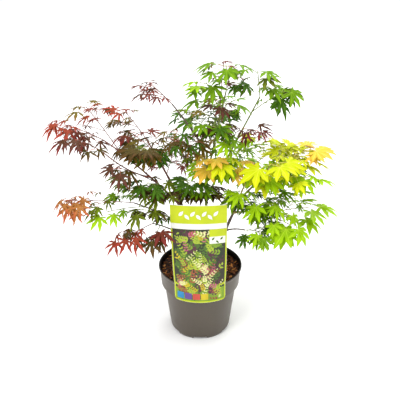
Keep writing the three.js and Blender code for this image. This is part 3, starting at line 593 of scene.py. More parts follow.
# Materials for the plant. A leaf's "lobe" map runs across each lobe and along it
def leafTissue():
    tree, given = newGroup("leafTissue", ["Tint", "Shade", "Vein"])
    place = onObject(tree)
    lobe = put(tree, "ShaderNodeSeparateXYZ", {0: output(tree, "ShaderNodeUVMap", uv_map="lobe")}).outputs
    fromMidrib = maths(tree, "ABSOLUTE", maths(tree, "SUBTRACT", lobe["X"], 0.5))
    midrib = ease(tree, fromMidrib, 0.1, 0.02)
    # Eleven slanting side veins to the longest lobe, fainter than the midrib
    slant = maths(tree, "SUBTRACT", times(tree, lobe["Y"], 11), times(tree, fromMidrib, 3))
    sideVein = ease(tree, maths(tree, "PINGPONG", slant, 0.5), 0.12, 0.02)
    vein = maths(tree, "MAXIMUM", midrib, times(tree, sideVein, 0.45))
    cloud = patches(tree, place, 46, 4, 0.38, 0.66)
    fleck = patches(tree, place, 420, 2, 0.58, 0.74)
    # The heart, where the lobes meet, is shaded like the clouds
    heart = times(tree, ease(tree, lobe["Y"], 0.8, 0.25), 0.65)
    shaded = maths(tree, "MAXIMUM", times(tree, cloud, 0.55), heart)
    body = blend(tree, shaded, given["Tint"], given["Shade"])
    body = blend(tree, times(tree, fleck, 0.25), body, given["Shade"])
    body = blend(tree, times(tree, vein, 0.5), body, given["Vein"])
    put(tree, "NodeGroupOutput", {
        "Color": body, "Height": maths(tree, "SUBTRACT", times(tree, cloud, 0.3), vein),
        "Roughness": maths(tree, "ADD", times(tree, fleck, 0.12), 0.46)})
    return tree


def youngBark():
    tree, given = newGroup("youngBark", ["Bark", "Furrow", "Sheen"])
    place = put(tree, "ShaderNodeAttribute", attribute_name="barkPlace").outputs["Vector"]
    # Ridges run along the wood and corks round it, over paler patches
    ridges = patches(tree, place, 3.2, 5, 0.36, 0.66, (1, 1, 0.16))
    corks = patches(tree, place, 2.6, 2, 0.62, 0.72, (1, 1, 2.6))
    body = blend(tree, times(tree, ridges, 0.6), given["Bark"], given["Furrow"])
    body = blend(tree, times(tree, patches(tree, place, 0.5, 2, 0.4, 0.62), 0.4), body, given["Sheen"])
    body = blend(tree, times(tree, corks, 0.55), body, given["Sheen"])
    put(tree, "NodeGroupOutput", {
        "Color": body, "Height": maths(tree, "SUBTRACT", corks, ridges),
        "Roughness": maths(tree, "ADD", times(tree, ridges, 0.2), 0.5)})
    return tree


# tint: blade, shaded part of it, veins
leafTints = {
    "red": "982a24 783e20 b65848", "crimson": "742020 4e3018 964038", "orange": "b84c32 86702a d08c62",
    "purple": "582622 3e3012 74463a", "brown": "4e3010 363a0a 6e5824", "bronze": "724a10 50580c 907634",
    "olive": "5c680c 445408 848e30", "green": "6a9006 4a7404 94b434", "dark": "3c6208 284806 668830",
    "lime": "96be04 7aa602 bcd63c", "yellow": "c2c604 b2c404 dcdc44", "peach": "e4ac40 d2be30 eed474",
}
glossyTints = ("purple", "brown", "crimson", "bronze")
tissue = leafTissue()
leafFinishes = {}
for tint, codes in leafTints.items():
    gloss = 0.12 if tint in glossyTints else 0.07
    leafFinishes[tint] = groupFinish(f"leaf_{tint}", tissue, codes, [], gloss, 0.35, 0.0004)
# bark: skin, furrows, paler patches
barks = {
    "red": "6a3d30 3a221c 93584a", "green": "6f8434 45521f 9aa352", "yellow": "948236 5d5324 bda85c",
    "dark": "55443a 2f2620 7d6a5a", "redStalk": "a8463a 7a2f2a cc7860",
    "greenStalk": "8fae3c a05a3a c2d070", "yellowStalk": "d8cc5a c8963c eee89a",
}
skin = youngBark()
barkFinishes = {}
for bark, codes in barks.items():
    barkFinishes[bark] = groupFinish(f"bark_{bark}", skin, codes, [], 0.4, 0.5, 0.0003)


# Geometry node trees: one turns strands into round wood, one sets shapes on points
def geometryTree(name, inputs):
    tree = bpy.data.node_groups.new(name, "GeometryNodeTree")
    for way in ("INPUT", "OUTPUT"):
        tree.interface.new_socket("Geometry", in_out=way, socket_type="NodeSocketGeometry")
    for label, kind in inputs.items():
        tree.interface.new_socket(label, in_out="INPUT", socket_type="NodeSocket" + kind)
    return tree, put(tree, "NodeGroupInput").outputs


def attribute(tree, name, kind="FLOAT"):
    return output(tree, "GeometryNodeInputNamedAttribute", {"Name": name}, data_type=kind)


def stored(tree, shape, name, value, kind="FLOAT"):
    values = {"Geometry": shape, "Name": name, "Value": value}
    return output(tree, "GeometryNodeStoreNamedAttribute", values, data_type=kind, domain="POINT")


def woodTree():
    tree, given = geometryTree("roundWood", {"Sides": "Int", "Relief": "Float", "Finish": "Material"})
    thick = attribute(tree, "thick")
    strand = output(tree, "GeometryNodeMeshToCurve", {"Mesh": given["Geometry"]})
    ring = output(tree, "GeometryNodeCurvePrimitiveCircle", {"Resolution": given["Sides"], "Radius": 1.0})
    ring = stored(tree, ring, "around", put(tree, "GeometryNodeSplineParameter").outputs["Factor"])
    wood = output(tree, "GeometryNodeCurveToMesh", {
        "Curve": strand, "Profile Curve": ring, "Scale": thick, "Fill Caps": True})
    turn = times(tree, attribute(tree, "around"), 2 * pi)
    place = output(tree, "ShaderNodeCombineXYZ", {
        0: maths(tree, "COSINE", turn), 1: maths(tree, "SINE", turn),
        2: times(tree, attribute(tree, "along"), woodLook["barkPitch"])})
    wood = stored(tree, wood, "barkPlace", place, "FLOAT_VECTOR")
    drawnOut = output(tree, "ShaderNodeVectorMath", {0: place, 1: (1, 1, 0.5)}, operation="MULTIPLY")
    ridge = output(tree, "ShaderNodeTexNoise", {"Vector": drawnOut, "Scale": 2.4, "Detail": 3.0})
    push = times(tree, times(tree, maths(tree, "SUBTRACT", ridge, 0.5), given["Relief"]), thick)
    values = {0: output(tree, "GeometryNodeInputNormal"), "Scale": push}
    offset = output(tree, "ShaderNodeVectorMath", values, operation="SCALE")
    wood = output(tree, "GeometryNodeSetPosition", {"Geometry": wood, "Offset": offset})
    wood = output(tree, "GeometryNodeSetShadeSmooth", {"Geometry": wood})
    wood = output(tree, "GeometryNodeRealizeInstances", {"Geometry": wood})
    wood = output(tree, "GeometryNodeSetMaterial", {"Geometry": wood, "Material": given["Finish"]})
    put(tree, "NodeGroupOutput", {"Geometry": wood})
    return tree


# Shapes of a collection on points that carry a shape number, a stance, a size and a tint number
def settingTree(name, tints):
    finishes = {f"Finish {tint}": "Material" for tint in tints}
    tree, given = geometryTree(name, {"Shapes": "Collection", **finishes})
    shapes = output(tree, "GeometryNodeCollectionInfo", {
        "Collection": given["Shapes"], "Separate Children": True, "Reset Children": True})
    stance = output(tree, "FunctionNodeEulerToRotation", {0: attribute(tree, "stance", "FLOAT_VECTOR")})
    placed = output(tree, "GeometryNodeInstanceOnPoints", {
        "Points": given["Geometry"], "Instance": shapes, "Pick Instance": True, "Rotation": stance,
        "Instance Index": attribute(tree, "shape", "INT"), "Scale": attribute(tree, "span")})
    placed = output(tree, "GeometryNodeRealizeInstances", {"Geometry": placed})
    number = attribute(tree, "tint", "INT")
    for k, label in enumerate(finishes):
        chosen = output(tree, "FunctionNodeCompare", {2: number, 3: k}, data_type="INT", operation="EQUAL")
        values = {"Geometry": placed, "Selection": chosen, "Material": given[label]}
        placed = output(tree, "GeometryNodeSetMaterial", values)
    put(tree, "NodeGroupOutput", {"Geometry": placed})
    return tree


# Each spot is a place, a stance, a size, a shape number and a tint. The shapes themselves go
def setOnPoints(name, spots, shapes, finishes):
    places, stances, spans, numbers, tints = zip(*spots)
    points = newObject(name + "Points", [place * mm for place in places], [])
    addAttribute(points, "stance", "FLOAT_VECTOR", stances)
    addAttribute(points, "span", "FLOAT", [span * mm for span in spans])
    addAttribute(points, "shape", "INT", numbers)
    addAttribute(points, "tint", "INT", [list(finishes).index(tint) for tint in tints])
    inputs = {"Shapes": shapes, **{f"Finish {tint}": finish for tint, finish in finishes.items()}}
    made = realised(name, points, settingTree(name + "Setting", finishes), inputs)
    for shape in list(shapes.objects):
        bpy.data.objects.remove(shape)
    return made


# Wood: the bark's pattern is drawn out along a strand and starts at another place on each
woodLook = {"barkPitch": 0.4, "barkShift": 7, "barkRepeat": 50}
roundWood = woodTree()


def roundStrands(name, strands, sides, relief, finish):
    points, edges, thick, along = [], [], [], []
    for line, radii in strands:
        edges += [(len(points) + i, len(points) + i + 1) for i in range(len(line) - 1)]
        points += [point * mm for point in line]
        thick += [radius * mm for radius in radii]
        along += list(walkedOn(line) + woodLook["barkShift"] * len(points) % woodLook["barkRepeat"])
    base = newObject(name + "Lines", points, [], edges)
    addAttribute(base, "thick", "FLOAT", thick)
    addAttribute(base, "along", "FLOAT", along)
    return realised(name, base, roundWood, {"Sides": sides, "Relief": relief, "Finish": finish})


# Stems and boughs with their knuckles, collars and root flare
limbLook = {
    "step": 1.1, "sides": 18, "relief": 0.2, "knuckleEvery": (26, 40), "knuckle": 0.2, "knuckleLength": 1.5,
    "collar": 0.55, "collarLength": 5, "seed": 5501,
}
limbSlots = {"red": "bark_red", "green": "bark_green", "yellow": "bark_green", "dark": "bark_dark"}
draw = seeded(limbLook["seed"])
for name, limb in limbs.items():
    start, middle, tip = limb["bow"]
    count = ceil((tip - start).length / limbLook["step"])
    line = bend(start, middle, tip, count)
    steps = len(limb["line"]) - 1
    if limb["from"]:
        places = shares(steps)
    else:
        places = [0, rule["flareRing"] / (steps - 1), *shares(steps - 1)[1:]]
    radii = np.interp(shares(count), places, limb["radii"])
    walked = walkedOn(line)
    knuckle = draw(*limbLook["knuckleEvery"])
    while knuckle < walked[-1]:
        swell = np.exp(-((walked - knuckle) / limbLook["knuckleLength"]) ** 2)
        radii = radii * (1 + limbLook["knuckle"] * swell)
        knuckle += draw(*limbLook["knuckleEvery"])
    radii = list(radii)
    if limb["from"]:
        parent = limb["from"]
        fading = np.exp(-walked / limbLook["collarLength"])
        if limb["at"] < 1:
            radii = [radius * (1 + limbLook["collar"] * fade) for radius, fade in zip(radii, fading)]
            radii.insert(0, radii[0])
        else:
            above = parent["radii"][-1]
            radii = [mixed(radius, max(radius, above), fade) for radius, fade in zip(radii, fading)]
            radii.insert(0, above)
        line.insert(0, pointOn(parent["line"], limb["at"]))
    made = roundStrands(f"bark_{name}", [(line, radii)], limbLook["sides"], limbLook["relief"],
                        barkFinishes[limb["bark"]])
    keep(made, limbSlots[limb["bark"]], name)
print("limbs", len(limbs))

# Twigs and leaf stalks, one piece for each kind of leaf
twigLook = {
    "sides": 8, "relief": 0.12, "main": (1.05, 0.72), "side": (0.72, 0.55), "spur": (0.55, 0.45),
    "stalk": (0.48, 0.36), "fine": 10, "stalkSides": 6, "stalkSteps": 5, "stalkArch": 0.08,
}
for kind in leafKinds:
    mine = [mass for mass in grown if mass["kind"] == kind]
    nodes = [mass["node"] for mass in mine]
    twigs, stalks = [], []
    for mass in mine:
        for i, line in enumerate(mass["twigs"]):
            path = [pointOn(line, at) for at in shares(twigLook["fine"])]
            if i == 0:
                path.insert(0, pointOn(mass["carrier"]["line"], mass["at"]))
            twigs.append((path, taper(*twigLook["main" if i == 0 else "side"], len(path) - 1)))
        twigs += [(line, taper(*twigLook["spur"], len(line) - 1)) for line in mass["spurs"]]
        for leaf, spray in mass["leaves"]:
            root, centre = leaf["root"], leaf["centre"]
            lift = up * ((centre - root).length * twigLook["stalkArch"])
            path = bend(root, root.lerp(centre, 0.5) + lift, centre, twigLook["stalkSteps"])
            stalks.append((path, taper(*twigLook["stalk"], twigLook["stalkSteps"])))
    made = roundStrands(f"twigs_{kind}", twigs, twigLook["sides"], twigLook["relief"], barkFinishes[kind])
    keep(made, limbSlots[kind], *nodes)
    made = roundStrands(f"stalks_{kind}", stalks, twigLook["stalkSides"], 0.0, barkFinishes[kind + "Stalk"])
    keep(made, f"foliage_{kind}", *nodes)
print("twigs and stalks")

# Leaf shapes: seven toothed lobes, folded along their midribs, drooping at their tips.
# The outline is a lobe's half width along it, as a share of its widest
leafLook = {
    "trueSize": 0.93, "shapes": 8, "seed": 3307, "rings": (0.14, 0.38, 0.62, 0.85), "shortRings": (0.3, 0.7),
    "short": 0.45, "firstRing": 0.55, "angleSpread": 4, "lengthSpread": 0.07, "widthPower": 0.7,
    "outline": (
        (0, 0.8), (0.15, 0.92), (0.33, 1), (0.5, 0.92), (0.66, 0.7), (0.8, 0.43), (0.91, 0.19), (1, 0)),
    "fold": 0.32, "bend": 0.1, "heel": 0.09, "heelTurn": 34, "bayLift": 0.02, "bayVein": 0.3,
    "toothForward": 0.018, "toothBack": 0.6, "droopPower": 1.5, "hook": (0.6, 1.5), "hookDrop": 0.25,
    "hookPower": 4,
}


def leafShape(name, plan, cup, draw, home):
    look = leafLook
    lobes = [(radians(degrees + draw(-1, 1) * look["angleSpread"]),
              length * (1 + draw(-1, 1) * look["lengthSpread"]))
             for degrees, length in allLobes(plan["lobes"])]
    points, faces, places = [Vector((0, 0, 0))], [], [(0.5, 0)]

    def add(angle, reach, aside, lobe, across, along, lower=0.0):
        ahead = Vector((cos(angle), sin(angle), 0))
        side = Vector((-ahead.y, ahead.x, 0))
        drop = cup * lobe * (reach / lobe) ** look["droopPower"] + lower
        points.append(ahead * reach + side * aside + up * (abs(aside) * look["fold"] - drop))
        places.append((across, along))
        return len(points) - 1
    heel = radians(look["heelTurn"])
    bays = [add(lobes[0][0] - heel, look["heel"], 0, lobes[0][1], 0, 0)]
    for (turn, length), (nextTurn, nextLength) in zip(lobes, lobes[1:]):
        between = (length + nextLength) / 2
        bays.append(add((turn + nextTurn) / 2, plan["bay"] * between, 0, between, 0, look["bayVein"]))
        points[-1].z = look["bayLift"]
    bays.append(add(lobes[-1][0] + heel, look["heel"], 0, lobes[-1][1], 0, 0))
    for i, (turn, length) in enumerate(lobes):
        sway = draw(-1, 1) * look["bend"]
        hook = cup * length * look["hookDrop"] * draw(*look["hook"])
        begin = min(max(points[k].xy.length for k in bays[i:i + 2]), look["firstRing"] * length)
        spine, sides = [0], {-1: [bays[i]], 1: [bays[i + 1]]}
        for k, ring in enumerate(look["shortRings" if length < look["short"] else "rings"]):
            reach = mixed(begin, length, ring)
            angle = turn + sway * ring
            half = np.interp(ring, *zip(*look["outline"])) * plan["width"] * length ** look["widthPower"]
            half *= 1 + plan["tooth"] * (1 if k % 2 else -look["toothBack"])
            forward = look["toothForward"] if k % 2 else 0
            lower = hook * ring ** look["hookPower"]
            spine.append(add(angle, reach, 0, length, 0.5, reach, lower))
            for hand, side in sides.items():
                side.append(add(angle, reach + forward, hand * half, length, 0.5 + 0.5 * hand, reach, lower))
        tip = add(turn + sway, length, 0, length, 0.5, length, hook)
        for hand, side in sides.items():
            lobeFaces = [(spine[k], spine[k + 1], side[k + 1], side[k]) for k in range(len(side) - 1)]
            lobeFaces.append((spine[-1], tip, side[-1]))
            faces += [face[::hand] for face in lobeFaces]
    made = newObject(name, points, faces, home=home)
    layer = made.data.uv_layers.new(name="lobe")
    for loop in made.data.loops:
        layer.data[loop.index].uv = places[loop.vertex_index]


draw = seeded(leafLook["seed"])
for kind in leafKinds:
    least, most = leafKinds[kind]["cup"]
    shapes = bpy.data.collections.new(f"leafShapes_{kind}")
    for k in range(leafLook["shapes"]):
        cup = mixed(least, most, (k + 0.5) / leafLook["shapes"])
        leafShape(f"leafShape_{kind}_{k}", leafKinds[kind], cup, draw, shapes)
    spots, nodes = [], []
    for mass in grown:
        if mass["kind"] != kind:
            continue
        nodes.append(mass["node"])
        for leaf, spray in mass["leaves"]:
            part = (leaf["cup"] - least) / (most - least)
            shape = min(leafLook["shapes"] - 1, int(part * leafLook["shapes"]))
            stance = Matrix((leaf["ahead"], leaf["across"], leaf["over"])).transposed().to_euler()
            tint = mass["tints"][min(spray, len(mass["tints"]) - 1)]
            spots.append((leaf["centre"], stance, leaf["size"] * leafLook["trueSize"], shape, tint))
    dealt = {tint for *_, tint in spots}
    tints = {tint: finish for tint, finish in leafFinishes.items() if tint in dealt}
    made = setOnPoints(f"leaves_{kind}", spots, shapes, tints)
    keep(made, f"foliage_{kind}", *nodes)
    print("leaves", kind, len(spots), len(made.data.polygons))


# Nursery pot: one outline turned round its axis, with rounded corners and notches in the foot ring
def trimmed(corner, other):
    length = (other - corner).length
    return corner.lerp(other, min(pot["rounding"], pot["mostRounding"] * length) / length)


def rounded(outline):
    made = [outline[0]]
    for before, corner, after in zip(outline, outline[1:], outline[2:]):
        made += bend(trimmed(corner, before), corner, trimmed(corner, after), pot["roundingSteps"])
    return made + [outline[-1]]


# The shift moves each point; a corner of the outline on the axis is one point and stays
def turned(name, outline, segments, shift):
    points, faces, rows = [], [], []
    for radius, height in outline:
        if radius == 0:
            rows.append([len(points)] * segments)
            points.append(Vector((0, 0, height)) * mm)
            continue
        rows.append(list(range(len(points), len(points) + segments)))
        for k in range(segments):
            turn = 2 * pi * k / segments
            place = Vector((cos(turn) * radius, sin(turn) * radius, height))
            points.append(shift(place, turn) * mm)
    for low, high in zip(rows, rows[1:]):
        for k in range(segments):
            after = (k + 1) % segments
            face = list(dict.fromkeys((low[k], low[after], high[after], high[k])))
            if len(face) > 2:
                faces.append(face)
    return newObject(name, points, faces)


def potProfile():
    lipFoot, ring = pot["height"] - pot["lip"], pot["foot"] - pot["footRing"]
    floorTop = pot["floorHeight"] + pot["floorThick"]
    rise = (floorTop - pot["bodyFootHeight"]) / (pot["stepHeight"] - pot["bodyFootHeight"])
    floorSide = mixed(pot["bodyFoot"], pot["step"], rise) - pot["wall"]
    corners = [
        (0, 0), (pot["boss"], 0), (pot["boss"] + pot["slant"], pot["floorHeight"]),
        (ring, pot["floorHeight"]), (ring + pot["slant"], 0), (pot["foot"], 0),
        (pot["bodyFoot"], pot["bodyFootHeight"]), (pot["step"], pot["stepHeight"]),
        (pot["collarFoot"], pot["collarFootHeight"]), (pot["collarTop"], lipFoot - pot["underLip"]),
        *((pot["rim"] + out, lipFoot + lift) for out, lift in pot["lipCurve"]),
        *((pot["rim"] + out, pot["height"] + lift) for out, lift in pot["rimCurve"]),
        (pot["collarTop"] - pot["wall"], lipFoot),
        (pot["collarFoot"] - pot["wall"], pot["collarFootHeight"] + pot["innerRise"]),
        (pot["step"] - pot["wall"], pot["stepHeight"] + pot["innerRise"]),
        (floorSide, floorTop), (0, floorTop)]
    return rounded([Vector(corner) for corner in corners])


def notched(place, turn):
    inFoot = place.xy.length > pot["foot"] - pot["footRing"] - pot["slant"]
    for k in range(pot["notches"]):
        off = turn - 2 * pi * k / pot["notches"] + pi / 2
        if inFoot and cos(off) > 0 and pot["foot"] * abs(sin(off)) < pot["notchWidth"] / 2:
            place.z = max(place.z, pot["notchHeight"])
    return place


def mouldedPlastic():
    tree, given = newGroup("mouldedPlastic", ["Plastic", "Dust"], ["Scuffs"])
    place = onObject(tree)
    cloud = patches(tree, place, 22, 4, 0.4, 0.72)
    streak = patches(tree, place, 60, 5, 0.56, 0.72, (1, 1, 0.12))
    speck = patches(tree, place, 380, 1, 0.7, 0.78)
    worn = times(tree, maths(tree, "MAXIMUM", times(tree, streak, 0.6), speck), given["Scuffs"])
    body = blend(tree, times(tree, cloud, 0.12), given["Plastic"], given["Dust"])
    put(tree, "NodeGroupOutput", {
        "Color": blend(tree, worn, body, given["Dust"]), "Height": grains(tree, place, 900, 2),
        "Roughness": maths(tree, "ADD", times(tree, cloud, 0.14), 0.38)})
    return tree


# A face is dark if it leans this much toward the axis, or if it is on the lip and leans this much upward
potLook = {"toAxis": 0.1, "upward": 0.8}
moulded = mouldedPlastic()
potShell = turned("pot_shell", potProfile(), pot["segments"], notched)
for name, codes, scuffs, gloss in (
        ("taupePlastic", "4b4339 675e53", 0.25, 0.45), ("blackPlastic", "0a0705 181410", 0.2, 0.12)):
    potShell.data.materials.append(groupFinish(name, moulded, codes, [scuffs], gloss, 0.12, 0.0002))
for face in potShell.data.polygons:
    side = Vector([sum(potShell.data.vertices[i].co[k] for i in face.vertices) for k in (0, 1)]).normalized()
    inside = face.normal.xy.dot(side) < -potLook["toAxis"] and face.center.z > pot["floorHeight"] * mm
    onTop = face.normal.z > potLook["upward"] and face.center.z > (pot["height"] - pot["lip"]) * mm
    face.material_index = 1 if inside or onTop else 0
keep(potShell, "pot_plastic", "pot")
print("pot", len(potShell.data.polygons))

# Bark mulch: a filling with a rough top, and chips on it in three shades
mulch = {
    "sides": ((0, 12), (66, 12), (79.4, 110), (87, 122)), "radius": 89.2, "segments": 96, "rings": 26,
    "lift": 2.5, "rough": 1.56, "swells": (22, 7), "smallSwell": 0.5, "chips": 1240, "shapes": 10,
    "corners": 16, "chipSize": (1, 0.36, 0.16), "taper": 0.3, "seed": 7717, "size": (3, 15), "tilt": 0.5,
    "edge": 88.6, "fade": (3, 8), "heap": 1.6, "spin": 6.3, "tan": 0.2, "brown": 0.42,
}


def mulchHeight(x, y):
    wide, small = mulch["swells"]
    swell = noise.noise(Vector((x, y, 0)) / wide)
    swell += mulch["smallSwell"] * noise.noise(Vector((x, y, 30)) / small)
    return rule["mixTop"] + mulch["lift"] + swell * mulch["rough"]


def mulchTop(place, turn):
    if place.z == 0:
        place.z = mulchHeight(place.x, place.y)
    return place


def mulchFinish(name, codes):
    finish, tree, surface = newFinish(name, 0.25, 0.85)
    skin, furrow, pale = paints(codes)
    place = onObject(tree)
    fibres = patches(tree, place, 240, 5, 0.34, 0.66, (1, 0.35, 1))
    body = blend(tree, fibres, furrow, skin)
    body = blend(tree, times(tree, patches(tree, place, 90, 3, 0.45, 0.68), 0.5), body, pale)
    dress(tree, surface, body, fibres, 0.7, 0.0008)
    return finish


mulchFinishes = {
    "dark": mulchFinish("mulchDark", "2e170a 120904 4e2a12"),
    "brown": mulchFinish("mulchBrown", "643212 2e1608 8e5222"),
    "tan": mulchFinish("mulchTan", "c07c3c 804a20 d8a060"),
}
# The bed's sides stand a few millimetres inside the pot. Corners at height 0 go up to the rough top
top = [(mulch["radius"] * i / mulch["rings"], 0) for i in range(mulch["rings"], -1, -1)]
bed = turned("mulch_bed", [*mulch["sides"], *top], mulch["segments"], mulchTop)
bed.data.vertices[-1].co.z = mulchHeight(0, 0) * mm
bed.data.materials.append(mulchFinishes["dark"])
keep(bed, "bark_mulch", "growing_mix")
chips = bpy.data.collections.new("chipShapes")
draw = seeded(mulch["seed"])
for k in range(mulch["shapes"]):
    form = bmesh.new()
    for i in range(mulch["corners"]):
        corner = Vector([draw(-side, side) for side in mulch["chipSize"]])
        form.verts.new(corner * (1 - mulch["taper"] * abs(corner.x)))
    bmesh.ops.convex_hull(form, input=form.verts)
    bmesh.ops.delete(form, geom=[vert for vert in form.verts if not vert.link_faces], context="VERTS")
    bmesh.ops.recalc_face_normals(form, faces=form.faces)
    chip = bpy.data.meshes.new(f"chipShape_{k}")
    form.to_mesh(chip)
    form.free()
    show(chip.name, chip, chips)
spots = []
for i in range(mulch["chips"]):
    radius, turn = mulch["edge"] * sqrt(draw(0, 1)), draw(0, 2 * pi)
    x, y = radius * cos(turn), radius * sin(turn)
    pick = draw(0, 1) - mulch["tan"]
    tint = "tan" if pick < 0 else "brown" if pick < mulch["brown"] else "dark"
    margin, fade = mulch["fade"]
    size = mixed(*mulch["size"], draw(0, 1) ** 2) * min(1, (mulch["radius"] + margin - radius) / fade)
    tilts = [draw(-1, 1) * mulch["tilt"] for k in range(2)]
    stance = (*tilts, draw(0, mulch["spin"]))
    place = Vector((x, y, mulchHeight(x, y) + draw(0, mulch["heap"])))
    spots.append((place, stance, size, i % mulch["shapes"], tint))
made = setOnPoints("mulch_chips", spots, chips, mulchFinishes)
made.data.polygons.foreach_set("use_smooth", [False] * len(made.data.polygons))
keep(made, "bark_mulch", "growing_mix")
print("mulch", len(made.data.polygons))


# Plant label: a curved card, flatter toward its top, with coloured bands and printed sprigs
def onLabel(across, height, depth):
    rise = max(0, (height - pot["height"]) / (card["top"] - pot["height"]))
    curve = mixed(card["back"], card["topCurve"], rise)
    turn = across / (curve + depth)
    x = sin(turn) * (curve + depth) - card["lean"] * (height - card["foot"])
    return Vector((x, curve - card["back"] - cos(turn) * (curve + depth), height))


def cardSheet(depth, low, high, left, right, columns, rows):
    corner, half = card["corner"], card["width"] / 2
    points = []
    for rise in shares(rows):
        for along in shares(columns):
            across = mixed(left, right, along)
            inset = max(0, abs(across) - (half - corner))
            raised = corner - sqrt(max(corner ** 2 - inset ** 2, 0))
            foot = max(low, card["foot"] + raised)
            points.append(onLabel(across, mixed(foot, high, rise), depth) * mm)
    width = columns + 1
    faces = [(a, a + 1, a + width + 1, a + width)
             for j in range(rows) for a in range(j * width, j * width + columns)]
    return points, faces


def labelCard():
    columns, rows, half = card["columns"], card["rows"], card["width"] / 2
    sheet = (card["foot"], card["top"], -half, half, columns, rows)
    back, faces = cardSheet(0, *sheet)
    front = cardSheet(card["thick"], *sheet)[0]
    count, width = len(back), columns + 1
    made = [face[::-1] for face in faces] + [tuple(count + i for i in face) for face in faces]
    rim = list(range(columns)) + [j * width + columns for j in range(rows)]
    rim += [rows * width + i for i in range(columns, 0, -1)] + [j * width for j in range(rows, 0, -1)]
    made += [(a, b, count + b, count + a) for a, b in zip(rim, rim[1:] + rim[:1])]
    return newObject("label_card", back + front, made)


def boxShape(form, low, high):
    place = Matrix.Translation((low + high) / 2 * mm) @ Matrix.Diagonal((*((high - low) * mm), 1))
    bmesh.ops.create_cube(form, size=1, matrix=place)


def printFinish(name, codes):
    finish, tree, surface = newFinish(name, 0.3, 0.45)
    colour, shade = paints(codes)
    place = onObject(tree)
    soft = patches(tree, place, 30, 3, 0.36, 0.66)
    body = blend(tree, times(tree, soft, 0.6), colour, shade)
    body = blend(tree, times(tree, patches(tree, place, 1500, 1, 0.4, 0.62), 0.08), body, shade)
    surface["Coat Weight"].default_value = 0.12
    surface["Coat Roughness"].default_value = 0.2
    dress(tree, surface, body, soft, 0.05, 0.0003)
    return finish


printColours = {
    "lime": "b8c404 a8b604", "white": "e6e6de dcdcd2", "ground": "22301a 3a2a1c", "moss": "4a6a1c 34501a",
    "plum": "542a36 3c1c28", "rust": "96502e 6e3820", "pink": "b85a72 8c3c54", "grass": "7c9a20 5c7c18",
    "limeLeaf": "a4b82c 80962a", "creamLeaf": "d8d898 b8bc70", "gold": "c8b418 a89414",
    "sky": "2a88b8 1c6c9a", "violet": "6a4a90 523874", "coral": "c8503c a83c30",
}
prints = {name: printFinish(f"print_{name}", codes) for name, codes in printColours.items()}


def keepPrinted(piece, colour):
    piece.data.materials.append(prints[colour])
    keep(piece, "label_card", "label")


keepPrinted(labelCard(), "white")
form = bmesh.new()
inner = -card["back"] + card["strapReach"]
high = Vector((card["strapWidth"] / 2, inner, card["strapTop"]))
boxShape(form, Vector((-high.x, -card["back"] - card["strapGap"], high.z - card["thick"])), high)
boxShape(form, Vector((-high.x, inner - card["thick"], card["strapFoot"])), high)
mesh = bpy.data.meshes.new("label_strap")
form.to_mesh(mesh)
form.free()
strap = show("label_strap", mesh)
edge = strap.modifiers.new("edge", "BEVEL")
edge.width, edge.segments = card["strapEdge"] * mm, 2
keepPrinted(strap, "white")

# Bands: name, print, from and to height, left and right, how far in front of the card
bands = (
    ("header", "lime", 322, 364.4, -59.2, 59.2, 0.06), ("border", "lime", 123.3, 309, -59.2, 59.2, 0.06),
    ("picture", "ground", 127, 309, -56, 56, 0.1), ("lawn", "grass", 127, 158, -56, 56, 0.13),
    ("tab", "lime", 291, 309, 22, 56, 0.42), ("tabFoot", "white", 274, 291, 22, 56, 0.42),
    ("blueTile", "sky", 131, 147, -52, -36, 0.42), ("violetTile", "violet", 131, 147, -34, -18, 0.42),
    ("coralTile", "coral", 131, 147, -16, 0, 0.42), ("goldTile", "gold", 131, 147, 2, 18, 0.42),
)
for name, colour, low, high, left, right, lift in bands:
    keepPrinted(newObject(f"label_{name}", *cardSheet(
        card["thick"] + lift, low, high, left, right, *card["bandSteps"])), colour)


# A printed oval leaf: two rows of faces laid on the card, along its midrib
def printedLeaf(points, faces, across, height, length, turn, lift):
    start = len(points)
    for at in sprig["leafSteps"]:
        side = sin(pi * at ** sprig["leafPower"]) * sprig["leafWidth"]
        for hand in (-side, 0, side):
            x, y = (at - 0.5) * length, hand * length
            spotX = across + x * cos(turn) - y * sin(turn)
            spotY = height + x * sin(turn) + y * cos(turn)
            points.append(onLabel(spotX, spotY, card["thick"] + lift) * mm)
    for k in range(len(sprig["leafSteps"]) - 1):
        for a in (start + 3 * k, start + 3 * k + 1):
            faces.append((a, a + 3, a + 4, a + 1))


def printedSprig(points, faces, across, height, span, turn, leaflet, lift):
    pairs = sprig["pairs"]
    for k in range(pairs + 1):
        along = (k + sprig["firstPair"]) / (pairs + 1)
        for hand in (0,) if k == pairs else (-1, 1):
            lean = turn + hand * sprig["spread"]
            length = leaflet * mixed(*sprig["leafTaper"], along)
            x = across + cos(turn) * span * along + cos(lean) * length / 2
            y = height + sin(turn) * span * along + sin(lean) * length / 2
            if abs(x) < sprig["half"] and sprig["low"] < y < sprig["high"]:
                printedLeaf(points, faces, x, y, length, lean, lift)


